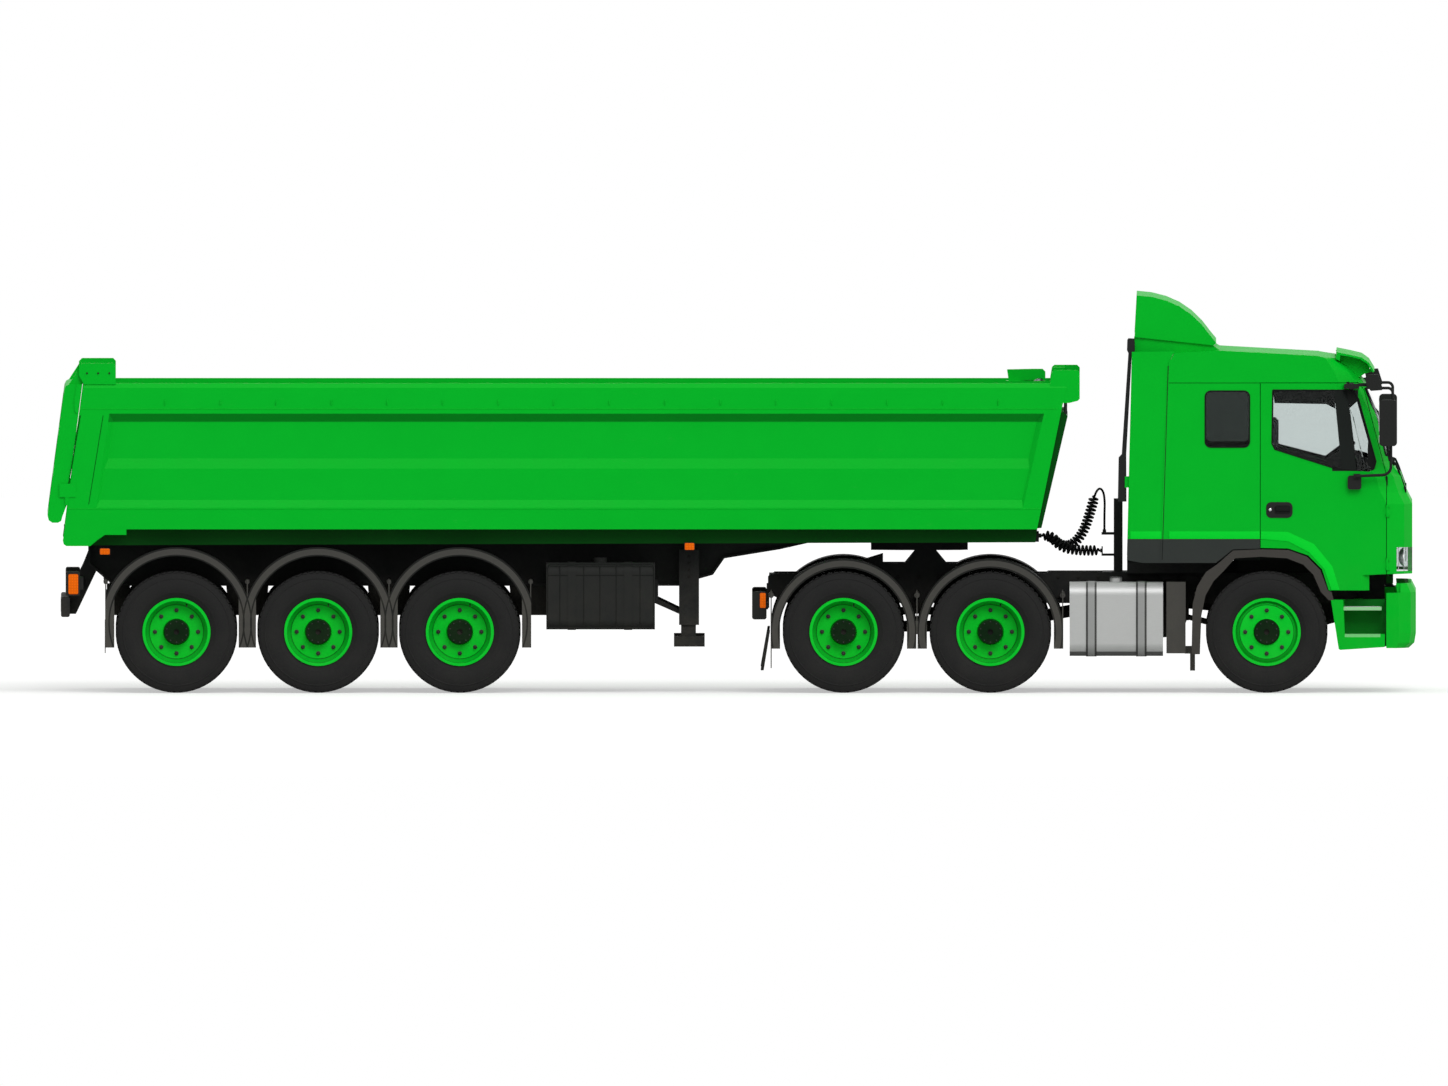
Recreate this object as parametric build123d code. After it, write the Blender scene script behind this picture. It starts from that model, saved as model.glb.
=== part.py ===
"""Articulated tipper lorry: a three-axle tractor with a tilting sleeper cab, hinged
at its fifth wheel to a three-axle semi-trailer with a tipping body.

Millimetres. +X points forward, +Y to the lorry's left, +Z up. The origin is on the
ground, midway along and across the whole lorry.
"""
from build123d import *
from math import atan2, cos, degrees, hypot, pi, radians, sin, sqrt, tan
import os

# Clearances
SEAT_GAP = 0.3
RUNNING_GAP = 0.08

# Wheels and axles
TYRE_RADIUS = 550.0
TREAD_SHOULDER = 34.0
BEAD_RADIUS = 290.0
FLANGE_RADIUS = 306.0
FLANGE_THICKNESS = 14.0
BARREL_WALL = 14.0
STEER_TYRE_WIDTH = 315.0
TRAILER_TYRE_WIDTH = 385.0
TWIN_GAP = 30.0
VEHICLE_HALF_WIDTH = 1240.0
STEER_FACE_Y = VEHICLE_HALF_WIDTH - 12.0
TWIN_FACE_Y = VEHICLE_HALF_WIDTH - 2.0
TRAILER_FACE_Y = VEHICLE_HALF_WIDTH - 7.0
FRONT_AXLE_X = 4817.0
DRIVE_AXLES_X = {"middle": 2330.0, "rear": 1008.0}
TRAILER_AXLES_X = {"front": -2445.0, "middle": -3720.0, "rear": -4995.0}
HUB_RADIUS = 112.0
SPINDLE_RADIUS = 45.0
DISC_FLAT_RADIUS = 240.0
AXLE_TUBE_RADIUS = 68.0

# Tractor chassis
RAIL_INNER_Y = 350.0
RAIL_WIDTH = 80.0
RAIL_TOP = 1065.0
RAIL_HEIGHT = 270.0
RAIL_WEB = 10.0
TRACTOR_REAR_X = 328.0
TRACTOR_FRONT_X = 5880.0
FENDER_RADIUS = 657.0
FENDER_SHEET = 10.0
FENDER_LIP = 80.0
FENDER_INNER_Y = VEHICLE_HALF_WIDTH - 670.0
FENDER_SKIRT_LOW = 400.0

# Coupling
KINGPIN_X = 1688.0
KINGPIN_RADIUS = 25.4
KINGPIN_LENGTH = 84.0
FIFTH_WHEEL_TOP = 1350.0
FIFTH_WHEEL_DEPTH = 78.0
FIFTH_WHEEL_HALF_WIDTH = 440.0

# Cab
CAB_HALF_WIDTH = VEHICLE_HALF_WIDTH - 5.0
CAB_WALL = 45.0
CAB_FLOOR_TOP = 1350.0
GLASS_THICKNESS = 8.0
DOOR_GAP = 6.0
DOOR_HINGE = (5899.0, CAB_HALF_WIDTH + 2.0)
DOOR_HINGE_HEIGHTS = (1160.0, 1640.0)
DOOR_PIN_RADIUS = 5.0
DOOR_BARREL_RADIUS = 11.0
DOOR_BARREL_HALF = 30.0
DOOR_KNUCKLE = 24.0
CAB_PIVOT = (5960.0, 850.0)
CAB_PIVOT_RADIUS = 20.0
CAB_SILL_LOW = 1120.0
MIRROR_ARM_OUT = 75.0
MIRROR_TUBE_RADIUS = 13.0
SEAT_Y = 600.0

# Steering
STEER_PIVOT_Y = STEER_FACE_Y - 228.0
STEER_PIN_RADIUS = 22.0

# Trailer frame
BEAM_INNER_Y = 470.0
BEAM_WIDTH = 140.0
BEAM_TOP = 1465.0
BEAM_FLANGE = 18.0
BEAM_WEB = 12.0
TRAILER_FENDER_RADIUS = 680.0
TRAILER_FENDER_CROWN = 1312.0
TRAILER_FENDER_LIP = 78.0

# Tipping body
BODY_HALF_WIDTH = 1250.0
BODY_WALL = 8.0
BODY_TOP = 2790.0
FLOOR_BOTTOM = 1475.0
FLOOR_THICKNESS = 10.0
TIP_HINGE_X = -5750.0
TIP_HINGE_Z = 1392.0
TIP_PIN_RADIUS = 30.0
GATE_PIN_X = -5826.0
GATE_PIN_Z = 2884.0
GATE_PIN_RADIUS = 18.0

# Hoist
HOIST_FOOT = (2650.0, 1410.0)
HOIST_EYE = (2780.0, 2850.0)
HOIST_STAGES = 5
HOIST_BARREL_RADIUS = 98.0
HOIST_STAGE_STEP = 12.0
HOIST_STAGE_WALL = 9.0
HOIST_GUIDE = 40.0
HOIST_EYE_RADIUS = 36.0
HOIST_WELL_HALF_WIDTH = 150.0

os.makedirs("parts", exist_ok=True)


def block(x, y, z):
    """A box from its (low, high) pairs."""
    (x0, x1), (y0, y1), (z0, z1) = x, y, z
    solid = Box(abs(x1 - x0), abs(y1 - y0), abs(z1 - z0))
    return Pos((x0 + x1) / 2, (y0 + y1) / 2, (z0 + z1) / 2) * solid


def side_plate(points, y_low, y_high):
    """A side outline of (x, z) points, carried across the lorry from y_low to y_high."""
    y_low, y_high = sorted((y_low, y_high))
    face = make_face(Polyline(*[(x, y_low, z) for x, z in points], close=True))
    return extrude(face, amount=y_high - y_low, dir=(0, 1, 0))


def cross_plate(points, x_low, x_high):
    """A cross-section of (y, z) points, carried along the lorry from x_low to x_high."""
    face = make_face(Polyline(*[(x_low, y, z) for y, z in points], close=True))
    return extrude(face, amount=x_high - x_low, dir=(1, 0, 0))


def bar_y(x, z, radius, y_low, y_high):
    """A round bar along Y."""
    y_low, y_high = sorted((y_low, y_high))
    return Pos(x, (y_low + y_high) / 2, z) * Rot(90, 0, 0) * Cylinder(radius, y_high - y_low)


def bar_x(y, z, radius, x_low, x_high):
    """A round bar along X."""
    return Pos((x_low + x_high) / 2, y, z) * Rot(0, 90, 0) * Cylinder(radius, x_high - x_low)


def bar_z(x, y, radius, z_low, z_high):
    """An upright round bar."""
    return Pos(x, y, (z_low + z_high) / 2) * Cylinder(radius, z_high - z_low)


def turned(points, x, z, y_face, side):
    """A ring turned about a Y axis; points are (radius, distance in from y_face)."""
    outline = Polyline(*[(radius, side * (y_face - inset_by)) for radius, inset_by in points], close=True)
    return Pos(x, 0, z) * revolve(make_face(outline), axis=Axis.Y)


def mirrored(shape):
    """The shape on the lorry's other side."""
    return mirror(shape, about=Plane.XZ)


def both_sides(shape):
    """The shape and its mirror image."""
    return shape + mirrored(shape)


def inset(points, distance):
    """A closed outline moved inwards by a distance, corner by corner."""
    area = sum(
        a[0] * b[1] - b[0] * a[1]
        for a, b in zip(points, points[1:] + points[:1])
    )
    turn = 1.0 if area > 0 else -1.0
    lines = []
    for (x0, z0), (x1, z1) in zip(points, points[1:] + points[:1]):
        length = hypot(x1 - x0, z1 - z0)
        ux, uz = (x1 - x0) / length, (z1 - z0) / length
        lines.append((x0 - turn * uz * distance, z0 + turn * ux * distance, ux, uz))
    moved = []
    for before, after in zip(lines[-1:] + lines[:-1], lines):
        px, pz, ux, uz = before
        qx, qz, vx, vz = after
        cross = ux * vz - uz * vx
        along = ((qx - px) * vz - (qz - pz) * vx) / cross
        moved.append((px + ux * along, pz + uz * along))
    return moved


def export(name, shape, colour):
    """Write one named node."""
    shape.label = name
    shape.color = Color(*colour)
    export_step(shape, f"parts/{name}.step")


GREEN = (0.0, 0.6, 0.2)
DARK = (0.08, 0.08, 0.09)
GREY = (0.4, 0.42, 0.44)
CLEAR = (0.7, 0.75, 0.75, 0.5)
RUBBER = (0.15, 0.15, 0.15)
RED = (0.8, 0.15, 0.1)


# Wheels
def tyre_ring(x, side, y_outer, width):
    """One tyre whose outer side face is at y_outer."""
    bead = 39.0
    bulge = 0.5 * (BEAD_RADIUS + TYRE_RADIUS)
    points = [
        (BEAD_RADIUS + SEAT_GAP, bead),
        (FLANGE_RADIUS + 2, bead),
        (bulge, 0),
        (TYRE_RADIUS - 12, TREAD_SHOULDER - 14),
        (TYRE_RADIUS, TREAD_SHOULDER),
        (TYRE_RADIUS, width - TREAD_SHOULDER),
        (TYRE_RADIUS - 12, width - TREAD_SHOULDER + 14),
        (bulge, width),
        (FLANGE_RADIUS + 2, width - bead),
        (BEAD_RADIUS + SEAT_GAP, width - bead),
    ]
    return turned(points, x, TYRE_RADIUS, y_outer, side)


def rim_barrel(x, side, y_outer, width):
    """The rim's barrel and its two flanges."""
    edge = 25.0
    points = [
        (BEAD_RADIUS - BARREL_WALL, edge),
        (FLANGE_RADIUS, edge),
        (FLANGE_RADIUS, edge + FLANGE_THICKNESS),
        (BEAD_RADIUS, edge + FLANGE_THICKNESS),
        (BEAD_RADIUS, width - edge - FLANGE_THICKNESS),
        (FLANGE_RADIUS, width - edge - FLANGE_THICKNESS),
        (FLANGE_RADIUS, width - edge),
        (BEAD_RADIUS - BARREL_WALL, width - edge),
    ]
    return turned(points, x, TYRE_RADIUS, y_outer, side)


def wheel_centre(x, side, y_outer, disc_in, hub_out, hub_in, bore):
    """The dished disc and its hub; disc_in, hub_out and hub_in are distances in from y_outer."""
    wall = 16.0
    rim_inside = BEAD_RADIUS - BARREL_WALL + 2
    points = [
        (bore, hub_out + 22),
        (bore, hub_in),
        (HUB_RADIUS, hub_in),
        (HUB_RADIUS + 20, disc_in + wall),
        (DISC_FLAT_RADIUS, disc_in + wall),
        (rim_inside, 64 + wall),
        (rim_inside, 64),
        (DISC_FLAT_RADIUS + 6, disc_in),
        (HUB_RADIUS + 12, disc_in),
        (HUB_RADIUS - 6, hub_out),
        (bore - 20, hub_out),
        (bore - 20, hub_out + 22),
    ]
    return turned(points, x, TYRE_RADIUS, y_outer, side)


def steer_wheel(side):
    """A steered wheel: rim with its hub, and tyre."""
    y_outer = STEER_FACE_Y
    bore = SPINDLE_RADIUS + RUNNING_GAP
    rim = rim_barrel(FRONT_AXLE_X, side, y_outer, STEER_TYRE_WIDTH)
    rim += wheel_centre(FRONT_AXLE_X, side, y_outer, 42, 8, y_outer - 1087, bore)
    return rim, tyre_ring(FRONT_AXLE_X, side, y_outer, STEER_TYRE_WIDTH)


def twin_wheel(x, side):
    """A driven pair: two rims on one hub, and two tyres."""
    y_outer = TWIN_FACE_Y
    width = STEER_TYRE_WIDTH
    y_second = y_outer - width - TWIN_GAP
    bore = SPINDLE_RADIUS + RUNNING_GAP
    rim = rim_barrel(x, side, y_outer, width) + rim_barrel(x, side, y_second, width)
    rim += wheel_centre(x, side, y_outer, 150, 52, y_outer - y_second + 60, bore)
    flange_in = y_outer - y_second + 20
    joint_disc = [
        (HUB_RADIUS - 4, flange_in),
        (BEAD_RADIUS - BARREL_WALL + 2, flange_in + 34),
        (BEAD_RADIUS - BARREL_WALL + 2, flange_in + 50),
        (HUB_RADIUS - 4, flange_in + 16),
    ]
    rim += turned(joint_disc, x, TYRE_RADIUS, y_outer, side)
    tyres = tyre_ring(x, side, y_outer, width) + tyre_ring(x, side, y_second, width)
    return rim, tyres


def trailer_wheel(x, side):
    """A wide single trailer wheel: rim with its hub, and tyre."""
    y_outer = TRAILER_FACE_Y
    bore = SPINDLE_RADIUS + RUNNING_GAP
    rim = rim_barrel(x, side, y_outer, TRAILER_TYRE_WIDTH)
    rim += wheel_centre(x, side, y_outer, 130, 52, 300, bore)
    return rim, tyre_ring(x, side, y_outer, TRAILER_TYRE_WIDTH)


# Tractor chassis
def tractor_frame():
    """Ladder frame, rear lamp bar, cab rests and the hose rack behind the cab."""
    low = RAIL_TOP - RAIL_HEIGHT
    side = [
        (TRACTOR_REAR_X, RAIL_TOP - 44),
        (TRACTOR_REAR_X + 60, RAIL_TOP),
        (TRACTOR_FRONT_X, RAIL_TOP),
        (TRACTOR_FRONT_X, low + 40),
        (TRACTOR_FRONT_X - 200, low),
        (TRACTOR_REAR_X + 180, low),
        (TRACTOR_REAR_X, low + 90),
    ]
    outer_y = RAIL_INNER_Y + RAIL_WIDTH
    rail = side_plate(side, RAIL_INNER_Y, outer_y)
    rail -= side_plate(inset(side, RAIL_WEB), RAIL_INNER_Y - 1, outer_y - RAIL_WEB)
    frame = both_sides(rail)
    cross_x = [TRACTOR_REAR_X + 40, 1660, 2960, 3560, 5790]
    for x in cross_x:
        reach = outer_y - RAIL_WEB
        frame += block((x - 30, x + 30), (-reach, reach), (low + 90, RAIL_TOP - RAIL_WEB))
    lamp_bar = block((TRACTOR_REAR_X - 12, TRACTOR_REAR_X + 2), (-1120, 1120), (752, 812))
    riser = block((TRACTOR_REAR_X - 12, TRACTOR_REAR_X + 12), (RAIL_INNER_Y, outer_y), (752, 960))
    frame += lamp_bar + both_sides(riser)
    rack_x = (3440, 3520)
    rack = block((3340, 3560), (-outer_y, outer_y), (RAIL_TOP, RAIL_TOP + 10))
    for y in (-150, 110):
        rack += block(rack_x, (y, y + 40), (RAIL_TOP + 5, 1728))
    rack += block(rack_x, (-150, 150), (1640, 1728))
    frame += rack
    rest = block((3960, 4030), (RAIL_INNER_Y + 10, outer_y), (RAIL_TOP, CAB_SILL_LOW))
    frame += both_sides(rest)
    frame += block((3330, 3450), (-120, 120), (1405, 1425))
    frame += block((3330, 3450), (-120, -30), (1215, 1235)) + block((3330, 3342), (-120, -30), (1215, 1300))
    x, y, z = HOSE_UPPER_LEAD[0]
    frame += bar_z(x, y, 16, 1420, z)
    x, y, z = HOSE_LOWER[0]
    frame += bar_x(y, z, 18, x, 3335)
    return frame


def fifth_wheel():
    """The coupling plate on its pedestals, base plate and entry ramps."""
    low = FIFTH_WHEEL_TOP - FIFTH_WHEEL_DEPTH
    plate_outline = [
        (2127, -260), (2060, -380), (1900, -FIFTH_WHEEL_HALF_WIDTH), (1500, -FIFTH_WHEEL_HALF_WIDTH),
        (1255, -330), (1255, -180), (1520, -46), (KINGPIN_X - 60, -34), (KINGPIN_X - 60, 34),
        (1520, 46), (1255, 180), (1255, 330), (1500, FIFTH_WHEEL_HALF_WIDTH),
        (1900, FIFTH_WHEEL_HALF_WIDTH), (2060, 380), (2127, 260),
    ]
    plate_edge = Polyline(*[(x, y, low) for x, y in plate_outline], close=True)
    plate = extrude(make_face(plate_edge), FIFTH_WHEEL_DEPTH)
    pocket = [(1860, 300), (1560, 380), (1400, 300), (1560, 110), (1860, 110)]
    for side in (-1, 1):
        pocket_edge = Polyline(*[(x, side * y, low) for x, y in pocket], close=True)
        plate -= extrude(make_face(pocket_edge), 50, dir=(0, 0, 1))
    plate -= bar_z(KINGPIN_X, 0, KINGPIN_RADIUS + RUNNING_GAP, low - 5, FIFTH_WHEEL_TOP + 5)
    base_top = 1152.0
    base = block((1364, 2038), (-430, 430), (RAIL_TOP, RAIL_TOP + 20))
    base += both_sides(block((1364, 2038), (350, 430), (RAIL_TOP + 20, base_top)))
    neck = [(1560, base_top), (1660, low), (1830, low), (1930, base_top)]
    base += both_sides(side_plate(neck, 350, 430))
    ramp = [(975, RAIL_TOP), (1000, 1120), (1360, 1230), (1364, 1230), (1364, RAIL_TOP)]
    base += both_sides(side_plate(ramp, 360, 430))
    return plate + base


def driveline():
    """Engine block, gearbox, shafts, driven axles, front axle beam and springs."""
    engine = block((4560, 5560), (-330, 330), (640, 1240))
    gearbox = side_plate([(4560, 700), (4560, 1180), (4300, 1100), (3900, 1000), (3900, 760)], -190, 190)
    radiator = block((5640, 5760), (-RAIL_INNER_Y + 10, RAIL_INNER_Y - 10), (700, 1240))
    unit = engine + gearbox + radiator
    unit += block((5560, 5640), (-60, 60), (850, 1000))
    mount = block((4700, 4800), (320, RAIL_INNER_Y + RAIL_WIDTH - RAIL_WEB - 0.5), (860, 930))
    unit += both_sides(mount)
    shaft_run = DRIVE_AXLES_X["middle"] + 150
    shaft_end = 3900
    shaft_angle = degrees(atan2(880 - TYRE_RADIUS - 60, shaft_end - shaft_run))
    shaft_length = hypot(880 - TYRE_RADIUS - 60, shaft_end - shaft_run) + 40
    shaft = Pos((shaft_run + shaft_end) / 2, 0, (880 + TYRE_RADIUS + 60) / 2)
    shaft *= Rot(0, 90 - shaft_angle, 0) * Cylinder(55, shaft_length)
    unit += shaft
    unit += bar_x(0, TYRE_RADIUS + 30, 50, DRIVE_AXLES_X["rear"] + 150, DRIVE_AXLES_X["middle"] - 150)
    reach = TWIN_FACE_Y - STEER_TYRE_WIDTH - TWIN_GAP
    hub_inner_y = reach - 60
    for x in DRIVE_AXLES_X.values():
        axle = Pos(x, 0, TYRE_RADIUS) * Sphere(215)
        axle += bar_y(x, TYRE_RADIUS, AXLE_TUBE_RADIUS + 17, -(hub_inner_y - 8), hub_inner_y - 8)
        stub_end = TWIN_FACE_Y - 78
        axle += both_sides(bar_y(x, TYRE_RADIUS, SPINDLE_RADIUS, hub_inner_y - 20, stub_end))
        saddle = block((x - 60, x + 60), (360, 430), (TYRE_RADIUS + 60, RAIL_TOP - RAIL_HEIGHT))
        axle += both_sides(saddle)
        unit += axle
    for x in (sum(DRIVE_AXLES_X.values()) / 2,):
        spring = [(x - 560, 655), (x - 560, 700), (x, 760), (x + 560, 700), (x + 560, 655), (x, 700)]
        unit += both_sides(side_plate(spring, 365, 425))
        unit += both_sides(block((x - 90, x + 90), (360, 430), (700, RAIL_TOP - RAIL_HEIGHT)))
    beam_low = TYRE_RADIUS - 60
    beam = [
        (-STEER_PIVOT_Y, TYRE_RADIUS + 60), (-STEER_PIVOT_Y, TYRE_RADIUS - 60), (-820, TYRE_RADIUS - 60),
        (-520, beam_low - 130), (520, beam_low - 130), (820, TYRE_RADIUS - 60),
        (STEER_PIVOT_Y, TYRE_RADIUS - 60),
        (STEER_PIVOT_Y, TYRE_RADIUS + 60), (800, TYRE_RADIUS + 60), (500, beam_low - 30),
        (-500, beam_low - 30),
        (-800, TYRE_RADIUS + 60),
    ]
    front = cross_plate(beam, FRONT_AXLE_X - 40, FRONT_AXLE_X + 40)
    pivot = bar_z(FRONT_AXLE_X, STEER_PIVOT_Y, 44, TYRE_RADIUS - 70, TYRE_RADIUS + 70)
    pivot += bar_z(FRONT_AXLE_X, STEER_PIVOT_Y, STEER_PIN_RADIUS, TYRE_RADIUS - 112, TYRE_RADIUS + 112)
    front += both_sides(pivot)
    leaf_x = 760
    leaf = [
        (FRONT_AXLE_X - leaf_x, 660), (FRONT_AXLE_X - leaf_x, 690), (FRONT_AXLE_X, 520),
        (FRONT_AXLE_X + leaf_x, 690),
        (FRONT_AXLE_X + leaf_x, 660), (FRONT_AXLE_X, 455),
    ]
    front += both_sides(side_plate(leaf, 365, 428))
    for x in (FRONT_AXLE_X - leaf_x + 20, FRONT_AXLE_X + leaf_x - 20):
        hanger = block((x - 40, x + 40), (360, 430), (640, RAIL_TOP - RAIL_HEIGHT))
        front += both_sides(hanger)
    return unit + front


def fender_arch(x, z, radius, y_low, y_high, leg_top, leg_low, reach, lip):
    """A curved mudguard of bent sheet with its upright ends and its outer lip."""
    arch = bar_y(x, z, radius, y_low, y_high)
    arch -= bar_y(x, z, radius - FENDER_SHEET, y_low - 1, y_high + 1)
    rim = bar_y(x, z, radius, y_high - FENDER_SHEET, y_high)
    rim -= bar_y(x, z, radius - lip, y_high - FENDER_SHEET - 1, y_high + 1)
    arch += rim
    spread = radius + 10
    arch &= block((x - reach, x + reach), (y_low - 5, y_high + 5), (leg_top, z + spread))
    half = FENDER_SHEET / 2
    for end in (-reach, reach):
        inner = end - lip * (1 if end > 0 else -1)
        arch += block((x + end - half, x + end + half), (y_low, y_high), (leg_low, leg_top + 30))
        low_x, high_x = sorted((x + end, x + inner))
        arch += block((low_x, high_x), (y_high - FENDER_SHEET, y_high), (leg_low, leg_top + 4))
    return arch


def tractor_fenders():
    """Mudguards over the driven wheels and the dark arches over the steered ones."""
    spacing = DRIVE_AXLES_X["middle"] - DRIVE_AXLES_X["rear"]
    reach = min(spacing / 2, FENDER_RADIUS - 6)
    leg_top = TYRE_RADIUS + sqrt(FENDER_RADIUS**2 - reach**2) - 20
    guards = None
    for x in DRIVE_AXLES_X.values():
        one = fender_arch(
            x, TYRE_RADIUS, FENDER_RADIUS, FENDER_INNER_Y, VEHICLE_HALF_WIDTH,
            leg_top, FENDER_SKIRT_LOW, reach, FENDER_LIP,
        )
        guards = one if guards is None else guards + one
    stay_z = 880.0
    rear_x, middle_x = DRIVE_AXLES_X["rear"], DRIVE_AXLES_X["middle"]
    for x in (rear_x - reach, rear_x + spacing / 2, middle_x + reach):
        guards += block((x - 5, x + 5), (FENDER_INNER_Y, VEHICLE_HALF_WIDTH), (stay_z - 350, stay_z + 40))
        guards += bar_y(x, stay_z, 24, RAIL_INNER_Y + RAIL_WIDTH, VEHICLE_HALF_WIDTH - 20)
    flap_x = DRIVE_AXLES_X["rear"] - reach
    guards += block((flap_x - 5, flap_x + 5), (FENDER_INNER_Y + 10, VEHICLE_HALF_WIDTH - 10), (225, 420))
    inner_line = [
        (4216, 369), (4243, 765), (4342, 1012), (4518, 1159), (4815, 1204), (5086, 1159),
        (5283, 986), (5370, 860),
    ]
    outer_line = [
        (5366, 905), (5300, 1095), (5178, 1222), (5008, 1284), (4518, 1284), (4369, 1161), (4270, 1062),
        (4172, 814), (4136, 369),
    ]
    face = side_plate(inner_line + outer_line, VEHICLE_HALF_WIDTH - 60, VEHICLE_HALF_WIDTH - 12)
    liner_back = [
        (5380, 868), (5100, 1170), (4815, 1216), (4510, 1170), (4332, 1018), (4231, 768), (4204, 369),
    ]
    liner_y = VEHICLE_HALF_WIDTH - 380
    liner = side_plate(inner_line + liner_back, liner_y, VEHICLE_HALF_WIDTH - 30)
    arch = face + liner
    arch += bar_y(4270, 1000, 22, RAIL_INNER_Y + RAIL_WIDTH, liner_y + 40)
    arch += block((4230, 4300), (liner_y + 5, liner_y + 35), (960, 1040))
    guards += arch
    return both_sides(guards)


def fuel_tank():
    """The right-hand fuel tank with its straps, brackets and filler cap."""
    x0, x1, z0, z1 = 3043.0, 3884.0, 333.0, 995.0
    y0, y1 = -(VEHICLE_HALF_WIDTH - 25), -600.0
    tank = block((x0, x1), (y0, y1), (z0, z1))
    tank = fillet(tank.edges().filter_by(Axis.X), 110)
    for x in (x0 + 195, x0 + 645):
        strap = block((x - 47, x + 47), (y0 - 5, y1 + 5), (z0 - 5, z1 + 5))
        strap = fillet(strap.edges().filter_by(Axis.X), 112)
        tank += strap
        tank += block((x - 47, x + 47), (y1 - 2, -(RAIL_INNER_Y + RAIL_WIDTH)), (780, z1))
    tank += bar_z(3460, -900, 55, z1 - 5, z1 + 44)
    return tank


def chassis_boxes():
    """Battery box, silencer, air tanks and the right-hand catalyst box."""
    right = block((3914, 4087), (-(VEHICLE_HALF_WIDTH - 60), -RAIL_INNER_Y - RAIL_WIDTH), (357, 999))
    pipe = block((4127, 4172), (-(VEHICLE_HALF_WIDTH - 260), -(VEHICLE_HALF_WIDTH - 300)), (198, 351))
    pipe = pipe + block((4080, 4172), (-(VEHICLE_HALF_WIDTH - 260), -(VEHICLE_HALF_WIDTH - 300)), (351, 420))
    battery = block((3043, 3620), (RAIL_INNER_Y + RAIL_WIDTH, VEHICLE_HALF_WIDTH - 40), (430, 990))
    battery = fillet(battery.edges().filter_by(Axis.Z), 30)
    silencer = bar_y(3880, 700, 230, RAIL_INNER_Y + RAIL_WIDTH + 10, VEHICLE_HALF_WIDTH - 60)
    silencer += block((3840, 3920), (RAIL_INNER_Y + RAIL_WIDTH, RAIL_INNER_Y + RAIL_WIDTH + 20), (700, 1000))
    web_y = RAIL_INNER_Y + RAIL_WIDTH - RAIL_WEB - SEAT_GAP
    air = bar_y(3250, 930, 85, -web_y, web_y)
    return right + pipe + battery + silencer + air


def bumper_and_steps():
    """Front bumper with its towing socket, and the cab's entry steps."""
    side = [(5893, 405), (6095, 405), (6146, 452), (6160, 540), (6160, 905), (6117, 988), (5893, 988)]
    half = VEHICLE_HALF_WIDTH - 12
    bumper = nose_loft(side, half, 5893.0)
    room = [(5700, 445), (6050, 445), (6085, 470), (6112, 570), (6112, 890), (6076, 1040), (5700, 1040)]
    bumper -= nose_loft(room, half - 45, 5893.0)
    for end in (-1, 1):
        notch_y = sorted((end * (half - 50), end * (half + 10)))
        bumper -= block((5880, 6020), notch_y, (903, 1000))
    carrier = block((TRACTOR_FRONT_X, 6118), (RAIL_INNER_Y, RAIL_INNER_Y + RAIL_WIDTH), (820, 940))
    bumper += both_sides(carrier)
    pin_x, pin_z = CAB_PIVOT
    bumper += both_sides(bar_y(pin_x, pin_z, CAB_PIVOT_RADIUS, RAIL_INNER_Y - 75, RAIL_INNER_Y + 5))
    bumper += bar_x(-390, 640, 42, 6000, 6140) + block((5893, 6120), (-420, -360), (640, 850))
    bumper -= bar_x(-390, 640, 24, 6060, 6170)
    outline = [(5395, 840), (5465, 396), (5482, 389), (5880, 415), (5880, 840)]
    step_y = VEHICLE_HALF_WIDTH - 340
    step = side_plate(outline, step_y, VEHICLE_HALF_WIDTH - 10)
    room = [(5505, 850), (5519, 531), (5890, 531), (5890, 850)]
    step -= side_plate(room, step_y + 110, VEHICLE_HALF_WIDTH + 5)
    step += block((5500, 5850), (step_y + 100, VEHICLE_HALF_WIDTH - 22), (745, 775))
    bracket = block((5600, 5680), (RAIL_INNER_Y + RAIL_WIDTH, step_y + 5), (805, 835))
    return bumper + both_sides(step + bracket)


def tractor_lamps():
    """Rear lamp units of the tractor."""
    x = TRACTOR_REAR_X - 12
    lamp = block((185, x), (880, 1120), (661, 912))
    lamp = fillet(lamp.edges().filter_by(Axis.Y), 22)
    return both_sides(lamp)


# Cab
CAB_SIDE = [
    (3856, 1172), (3900, 2300), (3938, 2985), (3988, 3060), (4395, 3084), (5284, 3035), (5432, 3015),
    (5600, 2905),
    (5712, 2763), (5828, 2488), (5890, 2227), (5924, 2084), (6029, 1946), (6071, 1809), (6127, 1701),
    (6127, 1073), (5905, 1062), (5905, 915), (5372, 915), (5308, 1111), (5185, 1233), (5012, 1294),
    (4762, 1302), (4512, 1294), (4360, 1172),
]
NOSE_SETBACK = ((0.0, 230.0), (110.0, 72.0), (250.0, 0.0))
NOSE_BLEND_X = 5284.0
NOSE_BLEND = 400.0


def nose_loft(points, half_width, blend_x=NOSE_BLEND_X, blend=NOSE_BLEND):
    """A side outline carried across the lorry, whose front corners are rounded back in three steps."""
    def section(y, setback):
        moved = [
            (x - setback * min(1.0, max(0.0, (x - blend_x) / blend)), y, z)
            for x, z in points
        ]
        return make_face(Polyline(*moved, close=True))

    stations = [(-half_width + inwards, back) for inwards, back in NOSE_SETBACK]
    stations += [(half_width - inwards, back) for inwards, back in reversed(NOSE_SETBACK)]
    return loft([section(y, back) for y, back in stations], ruled=True)


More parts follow.
